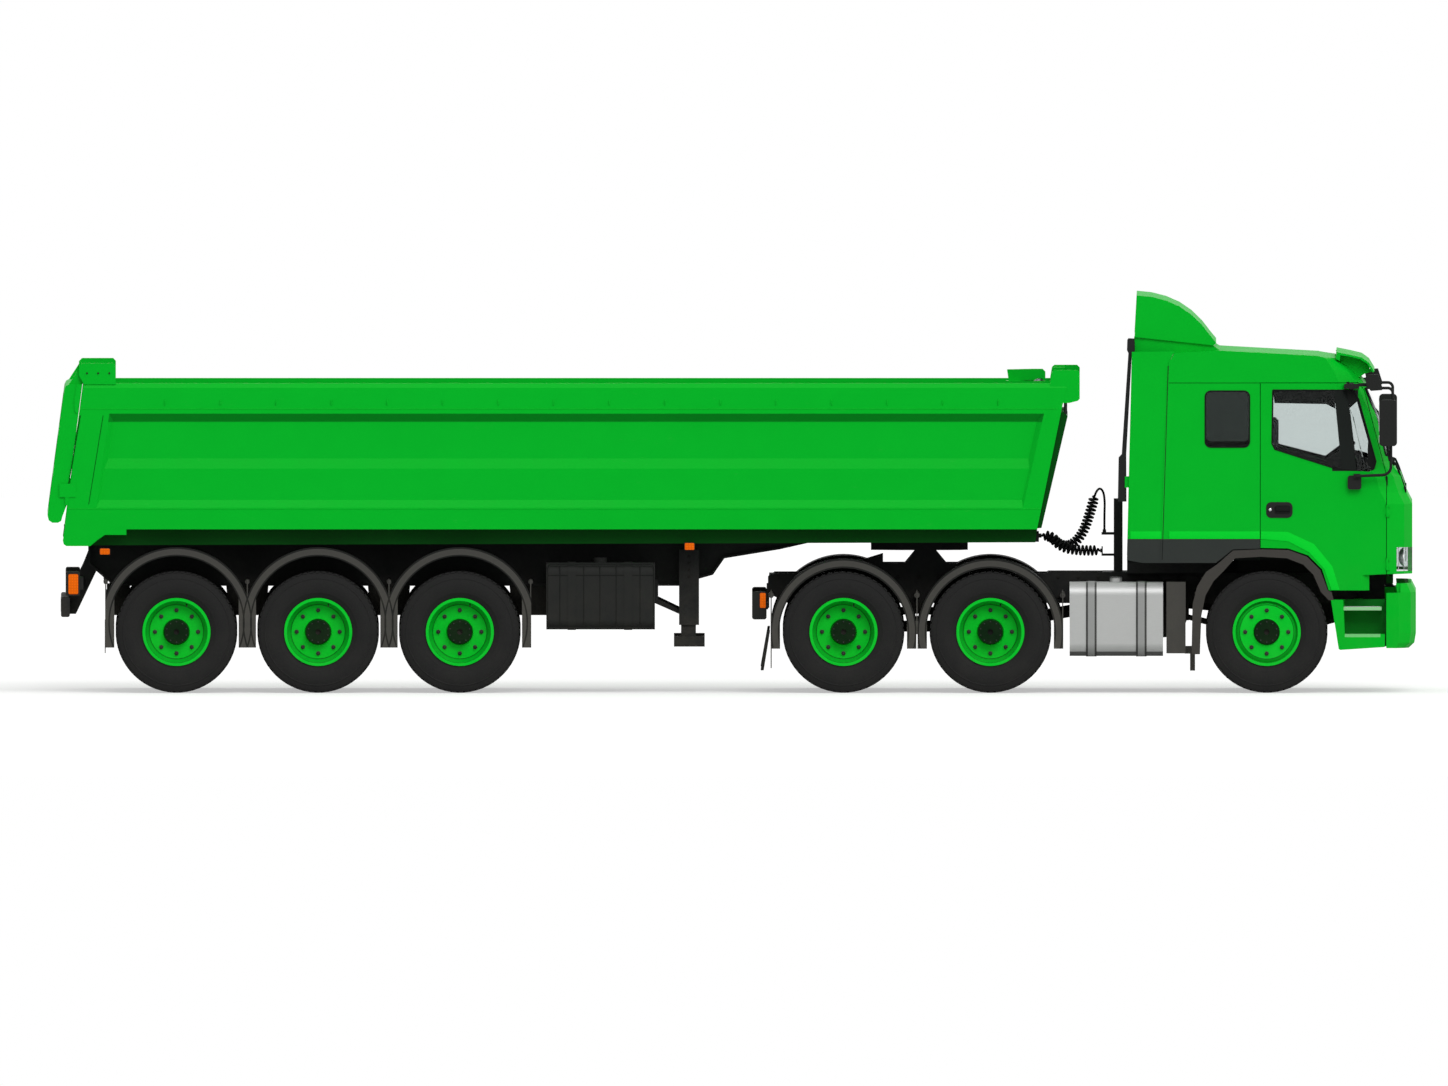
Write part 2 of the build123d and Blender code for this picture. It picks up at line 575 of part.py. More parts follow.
DOOR_OUTLINE = [
    (4762, 1308), (5012, 1302), (5190, 1240), (5315, 1115), (5376, 925), (5892, 925), (5892, 1960),
    (5858, 2090), (5692, 2722), (5640, 2790), (4762, 2790),
]
DOOR_WINDOW = [
    (4872, 2727), (5540, 2727), (5607, 2709), (5644, 2644), (5800, 2084), (5782, 2020), (5736, 1992),
    (5432, 2023), (4889, 2196), (4865, 2246),
]
DOOR_BAR = [(5422, 2730), (5539, 2730), (5629, 1990), (5494, 1990)]
SLEEPER_WINDOW = (4264.0, 4662.0, 2214.0, 2719.0)
FRONT_SPLIT = [
    (5895, 800), (5895, 1961), (5862, 2091), (5696, 2723), (5643, 2794), (5620, 2830), (6400, 2830),
    (6400, 800),
]
SCREEN_Y = CAB_HALF_WIDTH - 205.0
WINDSCREEN = ((5500.0, 6000.0), (-SCREEN_Y, SCREEN_Y), (2140.0, 2745.0))
HEADLAMP = ((5985.0, 6200.0), (CAB_HALF_WIDTH - 375.0, CAB_HALF_WIDTH + 65.0), (1096.0, 1312.0))
GRILLE_HALF_WIDTH = CAB_HALF_WIDTH - 535.0


def door_region(points, side, grow):
    """The space that a door's outline takes, on one side."""
    low, high = sorted((side * (CAB_HALF_WIDTH - 195), side * (CAB_HALF_WIDTH + 40)))
    return side_plate(inset(points, -grow), low, high)


def door_hinges(side):
    """A door's barrels, the cab's knuckles with their pins, and the room that each needs in the other."""
    x, y = DOOR_HINGE
    barrels, knuckles, barrel_room, knuckle_room = [], [], [], []
    for z in DOOR_HINGE_HEIGHTS:
        low, high = z - DOOR_BARREL_HALF, z + DOOR_BARREL_HALF
        end_low, end_high = low - DOOR_KNUCKLE, high + DOOR_KNUCKLE
        barrel = bar_z(x, y, DOOR_BARREL_RADIUS, low, high) + block((x - 30, x - 4), (y - 30, y), (low, high))
        barrels.append(barrel - bar_z(x, y, DOOR_PIN_RADIUS + RUNNING_GAP, low - 1, high + 1))
        for z0, z1 in ((end_low, low - SEAT_GAP), (high + SEAT_GAP, end_high)):
            leaf = block((x, x + 26), (y - 34, y), (z0, z1))
            knuckles.append(bar_z(x, y, DOOR_BARREL_RADIUS, z0, z1) + leaf)
            knuckle_room.append(bar_z(x, y, DOOR_BARREL_RADIUS + 3, z0 - 3, z1 + 3))
        knuckles.append(bar_z(x, y, DOOR_PIN_RADIUS, end_low, end_high))
        barrel_room.append(bar_z(x, y, DOOR_BARREL_RADIUS + 3, low - 3, high + 3))
    groups = [Part() + group for group in (barrels, knuckles, barrel_room, knuckle_room)]
    return groups if side > 0 else [mirrored(group) for group in groups]


def cab_underframe(floor_low):
    """The cab's two long members and its tilt arms, which hang on the front pivot pins."""
    top = floor_low + 5
    outer_y = RAIL_INNER_Y + RAIL_WIDTH
    member = block((3930, 5780), (RAIL_INNER_Y + 10, outer_y), (CAB_SILL_LOW + 60, top))
    member += block((3950, 4040), (RAIL_INNER_Y + 10, outer_y), (CAB_SILL_LOW + SEAT_GAP, CAB_SILL_LOW + 65))
    px, pz = CAB_PIVOT
    arm = [
        (5770, top), (5790, CAB_SILL_LOW + 60), (px - 105, 1050), (px - 72, 930), (px - 42, pz - 30),
        (px + 42, pz - 30), (px + 30, 900), (px - 40, 1000), (px - 70, 1100), (5860, top),
    ]
    y0, y1 = RAIL_INNER_Y - 70, RAIL_INNER_Y - 20
    arm_solid = side_plate(arm, y0, y1) - bar_y(px, pz, CAB_PIVOT_RADIUS + RUNNING_GAP, y0 - 5, y1 + 5)
    joiner = block((5700, 5780), (y0, outer_y), (CAB_SILL_LOW + 130, top))
    return both_sides(member + arm_solid + joiner)


def cab_pieces():
    """The cab's shell, front, glass and doors, all cut from one hollow form."""
    outer = nose_loft(CAB_SIDE, CAB_HALF_WIDTH)
    inner_side = inset(CAB_SIDE, CAB_WALL)
    inner = nose_loft(inner_side, CAB_HALF_WIDTH - CAB_WALL)
    room = inner & block((3000, 7000), (-2000, 2000), (CAB_FLOOR_TOP, 4000))
    floor_low = CAB_FLOOR_TOP - 30
    under = nose_loft(
        [(3700, 700), (3700, floor_low), (6127 - CAB_WALL, floor_low), (6127 - CAB_WALL, 700)],
        CAB_HALF_WIDTH - CAB_WALL,
    )
    hollow = outer - room - under
    skin_cut = nose_loft(inset(CAB_SIDE, GLASS_THICKNESS), CAB_HALF_WIDTH - GLASS_THICKNESS)
    skin = outer - skin_cut
    x0, x1, z0, z1 = SLEEPER_WINDOW
    sleeper = block((x0, x1), (CAB_HALF_WIDTH - 235, CAB_HALF_WIDTH + 165), (z0, z1))
    sleeper = fillet(sleeper.edges().filter_by(Axis.Y), 37)
    sleepers = both_sides(sleeper)
    screen = block(*WINDSCREEN)
    lamps = both_sides(block(*HEADLAMP))
    glass = (skin & screen) + (skin & sleepers) + (skin & lamps)
    doors = {}
    hinge_parts = []
    for name, side in (("left", 1), ("right", -1)):
        region = door_region(DOOR_OUTLINE, side, 0.0)
        window = door_region(DOOR_WINDOW, side, 0.0)
        bar = door_region(DOOR_BAR, side, 0.0)
        panes = window - bar
        door = (hollow & region) - panes
        pane = skin & panes
        doors[name] = (door, pane)
        hollow -= door_region(DOOR_OUTLINE, side, DOOR_GAP)
    hollow = hollow - screen - sleepers - lamps
    for name, side in (("left", 1), ("right", -1)):
        door, pane = doors[name]
        barrels, knuckles, barrel_room, knuckle_room = door_hinges(side)
        doors[name] = (door - knuckle_room + barrels, pane)
        hinge_parts.append((knuckles, barrel_room))
    front_space = side_plate(FRONT_SPLIT, -2000, 2000)
    front = hollow & front_space
    for knuckles, barrel_room in hinge_parts:
        front = front - barrel_room + knuckles
    pieces = (hollow - front_space).solids().sort_by(SortBy.VOLUME)
    shell = pieces[-1] + cab_underframe(floor_low)
    for i in range(5):
        z = 1180 + i * 95
        front -= both_sides(block((6000, 6300), (30, GRILLE_HALF_WIDTH), (z, z + 50)))
    return outer, shell, front, glass, doors


def cab_fairings(outer):
    """Roof deflector, side extenders and sun visor."""
    half = CAB_HALF_WIDTH - 115
    sheet = 18.0
    side = [
        (3627, 3203), (3648, 3578), (3780, 3565), (3913, 3531), (4030, 3480), (4140, 3405), (4235, 3312),
        (4310, 3215), (4362, 3152), (4338, 3128),
    ]
    deflector = side_plate(side, -half, half)
    inner = inset(side, sheet)
    inner[0] = (3600, inner[0][1] - 2 * sheet)
    inner[1] = (3600, inner[1][1])
    inner[-1] = (inner[-1][0], inner[-1][1] - 2 * sheet)
    deflector -= side_plate(inner, -half + sheet, half - sheet)
    plinth = [(3600, 3050), (3633, 3200), (4332, 3129), (4402, 3078), (4300, 3050)]
    base = side_plate(plinth, -half + 22, half - 22)
    base -= side_plate([(3500, 3000), (3500, 3230), (4310, 3115), (4345, 3000)], -half + 40, half - 40)
    deflector += base
    extender = [
        (3559, 1197), (3604, 3072), (3990, 3076), (3938, 2985), (3900, 2300), (3856, 1172), (3700, 1172),
    ]
    wing = both_sides(side_plate(extender, CAB_HALF_WIDTH - 40, CAB_HALF_WIDTH - 5))
    visor = [
        (5440, 3005), (5446, 3069), (5570, 3044), (5671, 3020), (5736, 2974), (5786, 2892), (5770, 2886),
        (5722, 2962),
        (5662, 3003), (5566, 3026), (5480, 3040), (5474, 2990),
    ]
    shade = side_plate(visor, -CAB_HALF_WIDTH + 105, CAB_HALF_WIDTH - 105)
    duct = [
        (3477, 1723), (3484, 2120), (3512, 2150), (3572, 3060), (3559, 3085), (3562, 3180), (3574, 3193),
        (3625, 3190), (3625, 3068), (3604, 3066), (3553, 2150), (3555, 1723),
    ]
    duct_y = 55 - CAB_HALF_WIDTH
    snorkel = side_plate(duct, duct_y, duct_y + 100)
    snorkel += block((3540, 3600), (duct_y - 20, duct_y + 60), (1850, 1950))
    return (deflector + wing + shade + snorkel) - outer


def cab_interior():
    """Two seats, bunk, dashboard and steering wheel."""
    floor = CAB_FLOOR_TOP
    items = None
    for y in (-SEAT_Y, SEAT_Y):
        seat = block((4830, 5120), (y - 160, y + 160), (floor, floor + 260))
        cushion = block((4760, 5290), (y - 260, y + 260), (floor + 260, floor + 400))
        cushion = fillet(cushion.edges().filter_by(Axis.Y), 40)
        back = [(4790, floor + 390), (4900, floor + 390), (4790, floor + 1100), (4700, floor + 1100)]
        rest = side_plate(back, y - 240, y + 240)
        head = block((4690, 4775), (y - 130, y + 130), (floor + 1120, floor + 1290))
        post = block((4715, 4750), (y - 60, y + 60), (floor + 1080, floor + 1140))
        seat += cushion + rest + head + post
        items = seat if items is None else items + seat
    items += block((3945, 4560), (-1000, 1000), (floor + 330, floor + 460))
    items += both_sides(block((3960, 4500), (850, 900), (floor, floor + 340)))
    dash = [
        (5650, floor), (5650, 1900), (5560, 2050), (5610, 2105), (5790, 2060), (5800, floor),
    ]
    items += side_plate(dash, -SCREEN_Y, SCREEN_Y)
    wheel = Torus(205, 17) + Cylinder(60, 36) + Box(380, 30, 14) + Box(30, 380, 14)
    column = Pos(0, 0, -210) * Cylinder(32, 420)
    items += Pos(5430, SEAT_Y, 2100) * Rot(0, -35, 0) * (wheel + column)
    return items


def pipe(points, radius, bend):
    """A round bar of straight runs joined by arcs."""
    path = FilletPolyline(*points, radius=bend)
    return sweep(Plane(origin=path @ 0, z_dir=path % 0) * Circle(radius), path=path)


def mirror_set(side, outer):
    """The main, kerb and door mirrors on their bent tubes, carried by a door."""
    y = CAB_HALF_WIDTH
    arm_y = y + MIRROR_ARM_OUT
    head = block((5830, 5990), (y + 55, y + 265), (2228, 2643))
    head = fillet(head.edges().filter_by(Axis.Y), 34)
    kerb_side = [
        (5701, 2838), (5725, 2870), (5819, 2873), (5857, 2755), (5857, 2731), (5754, 2724), (5715, 2774),
    ]
    kerb = side_plate(kerb_side, y + 55, y + 185)
    upper = pipe([(5820, arm_y, 2748), (5951, arm_y, 2748), (5951, arm_y, 2620)], MIRROR_TUBE_RADIUS, 44)
    arm = block((5515, 5648), (y - 115, arm_y + 15), (2742, 2784))
    arm += block((5640, 5740), (arm_y - 15, arm_y + 15), (2762, 2792))
    foot = block((5600, 5660), (y, arm_y), (1935, 1975))
    lower = pipe([(5935, arm_y, 2240), (5935, arm_y, 1968), (5620, arm_y, 1955)], MIRROR_TUBE_RADIUS, 78)
    brace = pipe([(5903, arm_y, 2240), (5903, arm_y, 2190), (5924, arm_y, 2090)], MIRROR_TUBE_RADIUS - 3, 30)
    small = block((5545, 5669), (y, y + 55), (1834, 1960))
    small = fillet(small.edges().filter_by(Axis.Y), 24)
    whole = (head + kerb + upper + arm + foot + lower + brace + small) - outer
    return whole if side > 0 else mirrored(whole)


def knuckle(side):
    """A steering knuckle: two lugs on the pivot pin, and the wheel's spindle."""
    bore = STEER_PIN_RADIUS + RUNNING_GAP
    z = TYRE_RADIUS
    plate_y = STEER_PIVOT_Y + 51
    body = block((FRONT_AXLE_X - 58, FRONT_AXLE_X + 58), (plate_y, plate_y + 29), (z - 108, z + 108))
    for low in (z - 108, z + 76):
        lug = bar_z(FRONT_AXLE_X, STEER_PIVOT_Y, 46, low, low + 32)
        lug += block((FRONT_AXLE_X - 46, FRONT_AXLE_X + 46), (STEER_PIVOT_Y, plate_y + 5), (low, low + 32))
        body += lug
    body -= bar_z(FRONT_AXLE_X, STEER_PIVOT_Y, bore, z - 200, z + 200)
    body += bar_y(FRONT_AXLE_X, z, SPINDLE_RADIUS, plate_y + 20, STEER_FACE_Y - 34)
    return body if side > 0 else mirrored(body)


# Trailer
def trailer_frame():
    """Two swan-necked main beams, cross-members, coupling plate, pin and rear underrun guard."""
    side = [
        (-5700, BEAM_TOP), (-5790, 1400), (-5790, 1150), (-5560, 954), (-293, 954), (-293, 1018),
        (-167, 1053),
        (-64, 1201), (76, 1224), (436, 1283), (742, 1352), (2720, 1356), (2750, 1380), (2750, BEAM_TOP),
    ]
    y0, y1 = BEAM_INNER_Y, BEAM_INNER_Y + BEAM_WIDTH
    mid = (y0 + y1) / 2
    beam = side_plate(side, y0, y1)
    pocket = inset(side, BEAM_FLANGE)
    beam -= side_plate(pocket, y0 - 1, mid - BEAM_WEB / 2)
    beam -= side_plate(pocket, mid + BEAM_WEB / 2, y1 + 1)
    frame = both_sides(beam)
    for x in (-5740, -4360, -3080, -1786, -380, 500):
        z_low = 1180 if x < -5600 else 1080
        frame += block((x - 30, x + 30), (-mid, mid), (max(z_low, 1300) if x > 400 else z_low, 1420))
    plate_low = FIFTH_WHEEL_TOP + SEAT_GAP
    frame += block((1180, 2720), (-y1, y1), (plate_low, plate_low + 12))
    frame += block((2757, 2767), (-y1, y1), (plate_low, 1425))
    frame += both_sides(block((2700, 2760), (y0, y1), (plate_low, 1425)))
    for x, y, z in (HOSE_UPPER[-1], HOSE_LOWER[-1]):
        frame += bar_x(y, z, 18, 2762, x)
    frame += bar_z(KINGPIN_X, 0, KINGPIN_RADIUS, plate_low - KINGPIN_LENGTH, plate_low + 5)
    frame += bar_y(TIP_HINGE_X, TIP_HINGE_Z, TIP_PIN_RADIUS, -(y1 + 75), y1 + 75)
    foot_x, foot_z = HOIST_FOOT
    for y in (-150, 125):
        cheek = [
            (foot_x - 60, 1362), (foot_x - 30, foot_z + 30), (foot_x + 30, foot_z + 30),
            (foot_x + 45, 1362),
        ]
        frame += side_plate(cheek, y, y + 25)
    frame += bar_y(foot_x, foot_z, 22, -140, 140)
    for low, high in ((y0 + 20, y0 + 60),):
        arm = [(-5790, 1250), (-5700, 1120), (-5900, 700), (-5965, 700), (-5965, 860), (-5830, 1150)]
        frame += both_sides(side_plate(arm, low, high))
    guard = block((-6035, -5955), (-1180, 1180), (684, 864))
    frame += fillet(guard.edges().filter_by(Axis.Y), 18)
    lamp_beam = block((-5863, -5833), (-1150, 1150), (930, 1040))
    frame += lamp_beam
    return frame


def trailer_axles():
    """Three axle tubes with their springs and hangers."""
    run = None
    reach = TRAILER_FACE_Y - 300
    for x in TRAILER_AXLES_X.values():
        axle = bar_y(x, TYRE_RADIUS, AXLE_TUBE_RADIUS, -(reach - 8), reach - 8)
        stub_end = TRAILER_FACE_Y - 78
        axle += both_sides(bar_y(x, TYRE_RADIUS, SPINDLE_RADIUS, reach - 20, stub_end))
        spring = [(x - 480, 700), (x - 480, 745), (x, 680), (x + 480, 745), (x + 480, 700), (x, 600)]
        y0 = BEAM_INNER_Y + 30
        axle += both_sides(side_plate(spring, y0, y0 + 80))
        run = axle if run is None else run + axle
    spacing = TRAILER_AXLES_X["front"] - TRAILER_AXLES_X["middle"]
    middles = [TRAILER_AXLES_X["rear"] - spacing / 2 + 30]
    middles += [x + spacing / 2 for x in TRAILER_AXLES_X.values()]
    for x in middles:
        hanger = [(x - 190, 954), (x - 170, 690), (x + 170, 690), (x + 190, 954)]
        if x < TRAILER_AXLES_X["rear"]:
            hanger = [(x - 20, 954), (x - 20, 690), (x + 170, 690), (x + 190, 954)]
        run += both_sides(side_plate(hanger, BEAM_INNER_Y + 10, BEAM_INNER_Y + BEAM_WIDTH - 10))
    return run


def trailer_fenders():
    """Mudguards over the trailer's wheels, with their stays and rear flaps."""
    spacing = TRAILER_AXLES_X["front"] - TRAILER_AXLES_X["middle"]
    reach = spacing / 2
    z = TRAILER_FENDER_CROWN - TRAILER_FENDER_RADIUS
    leg_top = z + sqrt(TRAILER_FENDER_RADIUS**2 - reach**2) - 20
    y0 = VEHICLE_HALF_WIDTH - TRAILER_TYRE_WIDTH - 25
    guards = None
    for x in TRAILER_AXLES_X.values():
        one = fender_arch(
            x, z, TRAILER_FENDER_RADIUS, y0, VEHICLE_HALF_WIDTH, leg_top, 410, reach, TRAILER_FENDER_LIP
        )
        guards = one if guards is None else guards + one
    stay_z = 1000.0
    xs = [TRAILER_AXLES_X["rear"] - reach] + [x + reach for x in TRAILER_AXLES_X.values()]
    for x in xs:
        guards += block((x - 5, x + 5), (y0, VEHICLE_HALF_WIDTH - 10), (leg_top, stay_z + 20))
        guards += bar_y(x, stay_z, 20, BEAM_INNER_Y + BEAM_WIDTH, VEHICLE_HALF_WIDTH - 30)
    flap_x = TRAILER_AXLES_X["rear"] - reach
    guards += block((flap_x - 8, flap_x), (y0 + 10, VEHICLE_HALF_WIDTH - 10), (360, 616))
    return both_sides(guards)


def landing_legs():
    """Two folded-up parking legs with their feet and cross shaft."""
    y0, y1 = BEAM_INNER_Y + BEAM_WIDTH, BEAM_INNER_Y + BEAM_WIDTH + 150
    leg = block((-472, -292), (y0 + 20, y1), (605, 1282))
    leg += block((-454, -320), (y0 + 40, y1 - 20), (470, 605))
    leg += block((-518, -241), (y0 + 10, y1 + 10), (410, 504))
    leg += block((-460, -300), (y0, y0 + 20), (1000, 1270))
    diagonal = [(-690, 800), (-690, 850), (-420, 720), (-420, 680)]
    leg += side_plate(diagonal, y0 + 60, y0 + 80)
    leg += side_plate([(-690, 1010), (-690, 800), (-660, 800), (-660, 1010)], y0, y0 + 80)
    legs = both_sides(leg)
    legs += bar_y(-382, 900, 20, -y0 - 30, y0 + 30)
    return legs


def tool_box():
    """The tank hung on the trailer's right side, with bands, brackets and cap."""
    y0, y1 = -(VEHICLE_HALF_WIDTH - 60), -700.0
    tank = block((-1667, -689), (y0, y1), (571, 1172))
    tank = fillet(tank.edges().filter_by(Axis.X), 90)
    for x in (-1438, -930):
        band = block((x - 37, x + 37), (y0 - 5, y1 + 5), (566, 1177))
        tank += fillet(band.edges().filter_by(Axis.X), 92)
        tank += block((x - 37, x + 37), (y1 - 5, -(BEAM_INNER_Y + (BEAM_WIDTH + BEAM_WEB) / 2)), (1000, 1120))
    tank += bar_z(-1180, -950, 60, 1165, 1216)
    return tank


def trailer_lamps():
    """Rear lamp boxes of the trailer."""
    box = block((-5992, -5863), (880, 1170), (875, 1092))
    box = fillet(box.edges().filter_by(Axis.Y), 16)
    return both_sides(box)


# Tipping body
PRESSED_PANEL = [(0.0, 2517.0), (45.0, 2449.0), (45.0, 2112.0), (22.0, 2021.0), (22.0, 1739.0), (0.0, 1670.0)]
PANEL_REAR = ((-5600.0, 2517.0), (-5718.0, 1670.0))
PANEL_FRONT = ((2813.0, 2517.0), (2623.0, 1670.0))
PANEL_END_SLOPE = 1.1
RAIL_CHAMFER = (14.0, 42.0)
BODY_REAR = ((-5831.0, BODY_TOP), (-6003.0, FLOOR_BOTTOM))
BODY_FRONT = ((3020.0, BODY_TOP), (2750.0, FLOOR_BOTTOM))
WELL_BACK = ((2600.0, BODY_TOP), (2130.0, FLOOR_BOTTOM))


def along_edge(edge, z):
    """The x at height z on a slanted edge given by its upper and lower point."""
    (x1, z1), (x0, z0) = edge
    return x0 + (x1 - x0) * (z - z0) / (z1 - z0)


def pressed_space(x_low, x_high):
    """What the side panel's pressing takes off the flat side, with its slanted ends."""
    depths = [depth for depth, z in PRESSED_PANEL]
    heights = [z for depth, z in PRESSED_PANEL]
    section = [(BODY_HALF_WIDTH - depth, z) for depth, z in PRESSED_PANEL]
    section += [(BODY_HALF_WIDTH + 50, heights[-1]), (BODY_HALF_WIDTH + 50, heights[0])]
    space = cross_plate(section, x_low, x_high)
    outlines = []
    for depth in (-40.0, max(depths) + 20):
        shift = PANEL_END_SLOPE * depth
        top, low = heights[0] + 40, heights[-1] - 40
        y = BODY_HALF_WIDTH - depth
        corners = [
            (along_edge(PANEL_REAR, top) + shift, y, top), (along_edge(PANEL_FRONT, top) - shift, y, top),
            (along_edge(PANEL_FRONT, low) - shift, y, low), (along_edge(PANEL_REAR, low) + shift, y, low),
        ]
        outlines.append(make_face(Polyline(*corners, close=True)))
    return both_sides(space & loft(outlines, ruled=True))


def tipper_body():
    """The open-topped tipping body: pressed sides, floor, sloping front with hoist well, rails and ears."""
    half = BODY_HALF_WIDTH
    chamfer_in, chamfer_down = RAIL_CHAMFER
    half_outline = [(half - chamfer_in, BODY_TOP), (half, BODY_TOP - chamfer_down), (half, FLOOR_BOTTOM)]
    x_low, x_high = -6200.0, 3300.0
    outer = cross_plate(half_outline + [(-y, z) for y, z in reversed(half_outline)], x_low, x_high)
    ends = [BODY_REAR[0], BODY_FRONT[0], BODY_FRONT[1], BODY_REAR[1]]
    outer &= side_plate(ends, -half - 50, half + 50)
    outer -= pressed_space(x_low, x_high)
    (fx1, fz1), (fx0, fz0) = BODY_FRONT
    wall = 30.0
    slope = (fx1 - fx0) / (fz1 - fz0)
    floor_top = FLOOR_BOTTOM + FLOOR_THICKNESS
    extra = 400.0
    room = [
        (-6300, floor_top), (-6300, BODY_TOP + extra), (fx1 + slope * extra - wall, BODY_TOP + extra),
        (fx0 - wall + slope * FLOOR_THICKNESS, floor_top),
    ]
    rail_low = BODY_TOP - 45
    half_section = [(half - 60, BODY_TOP + extra), (half - 60, rail_low), (half - BODY_WALL, rail_low)]
    half_section += [(half - BODY_WALL - depth, z - 3) for depth, z in PRESSED_PANEL]
    half_section += [(half - BODY_WALL, floor_top)]
    section = half_section + [(-y, z) for y, z in reversed(half_section)]
    body = outer - (cross_plate(section, x_low, x_high) & side_plate(room, -half - 50, half + 50))
    (wx1, wz1), (wx0, wz0) = WELL_BACK
    well_slope = (wx1 - wx0) / (wz1 - wz0)
    w = HOIST_WELL_HALF_WIDTH
    casing = [(wx0 - 10, FLOOR_BOTTOM), (wx1 - 10, BODY_TOP), (fx1 - 5, BODY_TOP), (fx0 - 5, FLOOR_BOTTOM)]
    space = [
        (wx0 - well_slope * 100, FLOOR_BOTTOM - 100), (wx1 + well_slope * 300, BODY_TOP + 300),
        (fx1 + 300, BODY_TOP + 300), (fx0 + 300, FLOOR_BOTTOM - 100),
    ]
    body += side_plate(casing, -w - 10, w + 10)
    body -= side_plate(space, -w, w)
    ear = [
        (2500, 2750), (2480, 2890), (2700, 2895), (2800, 2895), (2825, 2870), (2825, 2812), (2640, 2812),
        (2610, 2750),
    ]
    for low in (55.0, -80.0):
        body += side_plate(ear, low, low + 25)
    body += block((2470, 2600), (-w - 10, w + 10), (2750, 2790))
    front_skin = [(2735, 1482), (2790, 1486), (3025, 2490), (3000, 2530), (2955, 2530)]
    body += both_sides(side_plate(front_skin, w + 2, half - 34))
    rail = [(-5989, 1328), (-6010, FLOOR_BOTTOM), (2750, FLOOR_BOTTOM), (2735, 1355)]
    body += both_sides(side_plate(rail, half - 240, half - 150))
    for i in range(14):
        x = -5500 + i * 620
        member_y = (BEAM_INNER_Y + BEAM_WIDTH + 5, half - 238)
        body += both_sides(block((x - 35, x + 35), member_y, (1395, FLOOR_BOTTOM + 1)))
    sill = block((-5690, 2100), (490, 590), (BEAM_TOP + SEAT_GAP, FLOOR_BOTTOM + 1))
    body += both_sides(sill)
    y_ear = BEAM_INNER_Y + BEAM_WIDTH + 12
    hinge = [
        (TIP_HINGE_X - 90, FLOOR_BOTTOM + 1), (TIP_HINGE_X - 45, TIP_HINGE_Z - 45),
        (TIP_HINGE_X + 45, TIP_HINGE_Z - 45), (TIP_HINGE_X + 120, FLOOR_BOTTOM + 1),
    ]
    pin_hole = bar_y(TIP_HINGE_X, TIP_HINGE_Z, TIP_PIN_RADIUS + RUNNING_GAP, y_ear - 5, y_ear + 50)
    body += both_sides(side_plate(hinge, y_ear, y_ear + 45) - pin_hole)
    return body + body_corners()


def body_corners():
    """The tipping body's corner plates, the tailgate's pins and latches."""
    half = BODY_HALF_WIDTH
    upper_rear = [
        (-5541, 2780), (-5541, 2945), (-5565, 2970), (-5845, 2970), (-5873, 2942), (-5873, 2860),
        (-5830, 2780),
    ]
    corners = None
    for low in (half - 110, half - 25):
        plate = side_plate(upper_rear, low, low + 25)
        corners = plate if corners is None else corners + plate
    corners += block((-5760, -5541), (half - 90, half - 20), (2780, 2840))
    corners += bar_y(GATE_PIN_X, GATE_PIN_Z, GATE_PIN_RADIUS, half - 105, half - 10)
    upper_front = [
        (2864, 2770), (2884, 2890), (2906, 2909), (3110, 2909), (3134, 2885), (3134, 2650), (3118, 2632),
        (3040, 2612), (2960, 2612),
    ]
    corners += side_plate(upper_front, half - 60, half - 4)
    corners += side_plate([(2864, 2770), (2884, 2890), (3000, 2890), (2970, 2740)], half - 250, half - 4)
    lower_rear = [
        (-6003, 1480), (-6018, 1372), (-6010, 1340), (-5985, 1324), (-5772, 1324), (-5705, 1380),
        (-5640, 1425), (-5446, 1425), (-5446, 1480),
    ]
    corners += side_plate(lower_rear, half - 25, half)
    latch = [(-6050, 1764), (-6050, 1886), (-5895, 1886), (-5903, 1764)]
    hook = [(-6000, 1766), (-5996, 1690), (-5970, 1690), (-5966, 1766)]
    corners += side_plate(latch, half - 1, half + 8) + side_plate(hook, half - 1, half + 6)
    return both_sides(corners)


def tailgate():
    """The top-hung tailgate: a ribbed frame with a skin, on two arms."""
    half = BODY_HALF_WIDTH
    side = [
        (-5842, 2781), (-5962, 2781), (-5990, 2765), (-6004, 2733), (-6156, 1600), (-6145, 1556),
        (-6112, 1534), (-6062, 1534), (-6033, 1550), (-6022, 1590), (-5984, 1690),
    ]
    gate = side_plate(side, -half + 6, half - 6)
    lean = (6153 - 6000) / (2733 - 1593)
    for i in range(3):
        z_low = 1640 + i * 370
        z_high = z_low + 300
        x_low = -6153 + (z_low - 1593) * lean
        x_high = -6153 + (z_high - 1593) * lean
        pocket = [(x_low + 70, z_low), (x_low - 60, z_low), (x_high - 60, z_high), (x_high + 70, z_high)]
        gate -= side_plate(pocket, -half + 110, half - 110)
    arm = [
        (GATE_PIN_X - 45, GATE_PIN_Z + 38), (GATE_PIN_X + 30, GATE_PIN_Z + 38),
        (GATE_PIN_X + 34, GATE_PIN_Z - 60),
        (-5844, 2781), (-5870, 2700), (-5962, 2781),
    ]
    hanger = side_plate(arm, half - 74, half - 36)
    hanger -= bar_y(GATE_PIN_X, GATE_PIN_Z, GATE_PIN_RADIUS + RUNNING_GAP, half - 80, half - 30)
    leaf = [
        (-5893, 2772), (-5916, 2638), (-5912, 2541), (-5896, 2518), (-5884, 2524), (-5868, 2640),
        (-5852, 2772),
    ]
    hanger += side_plate(leaf, half - 12, half + 4)
    return gate + both_sides(hanger)


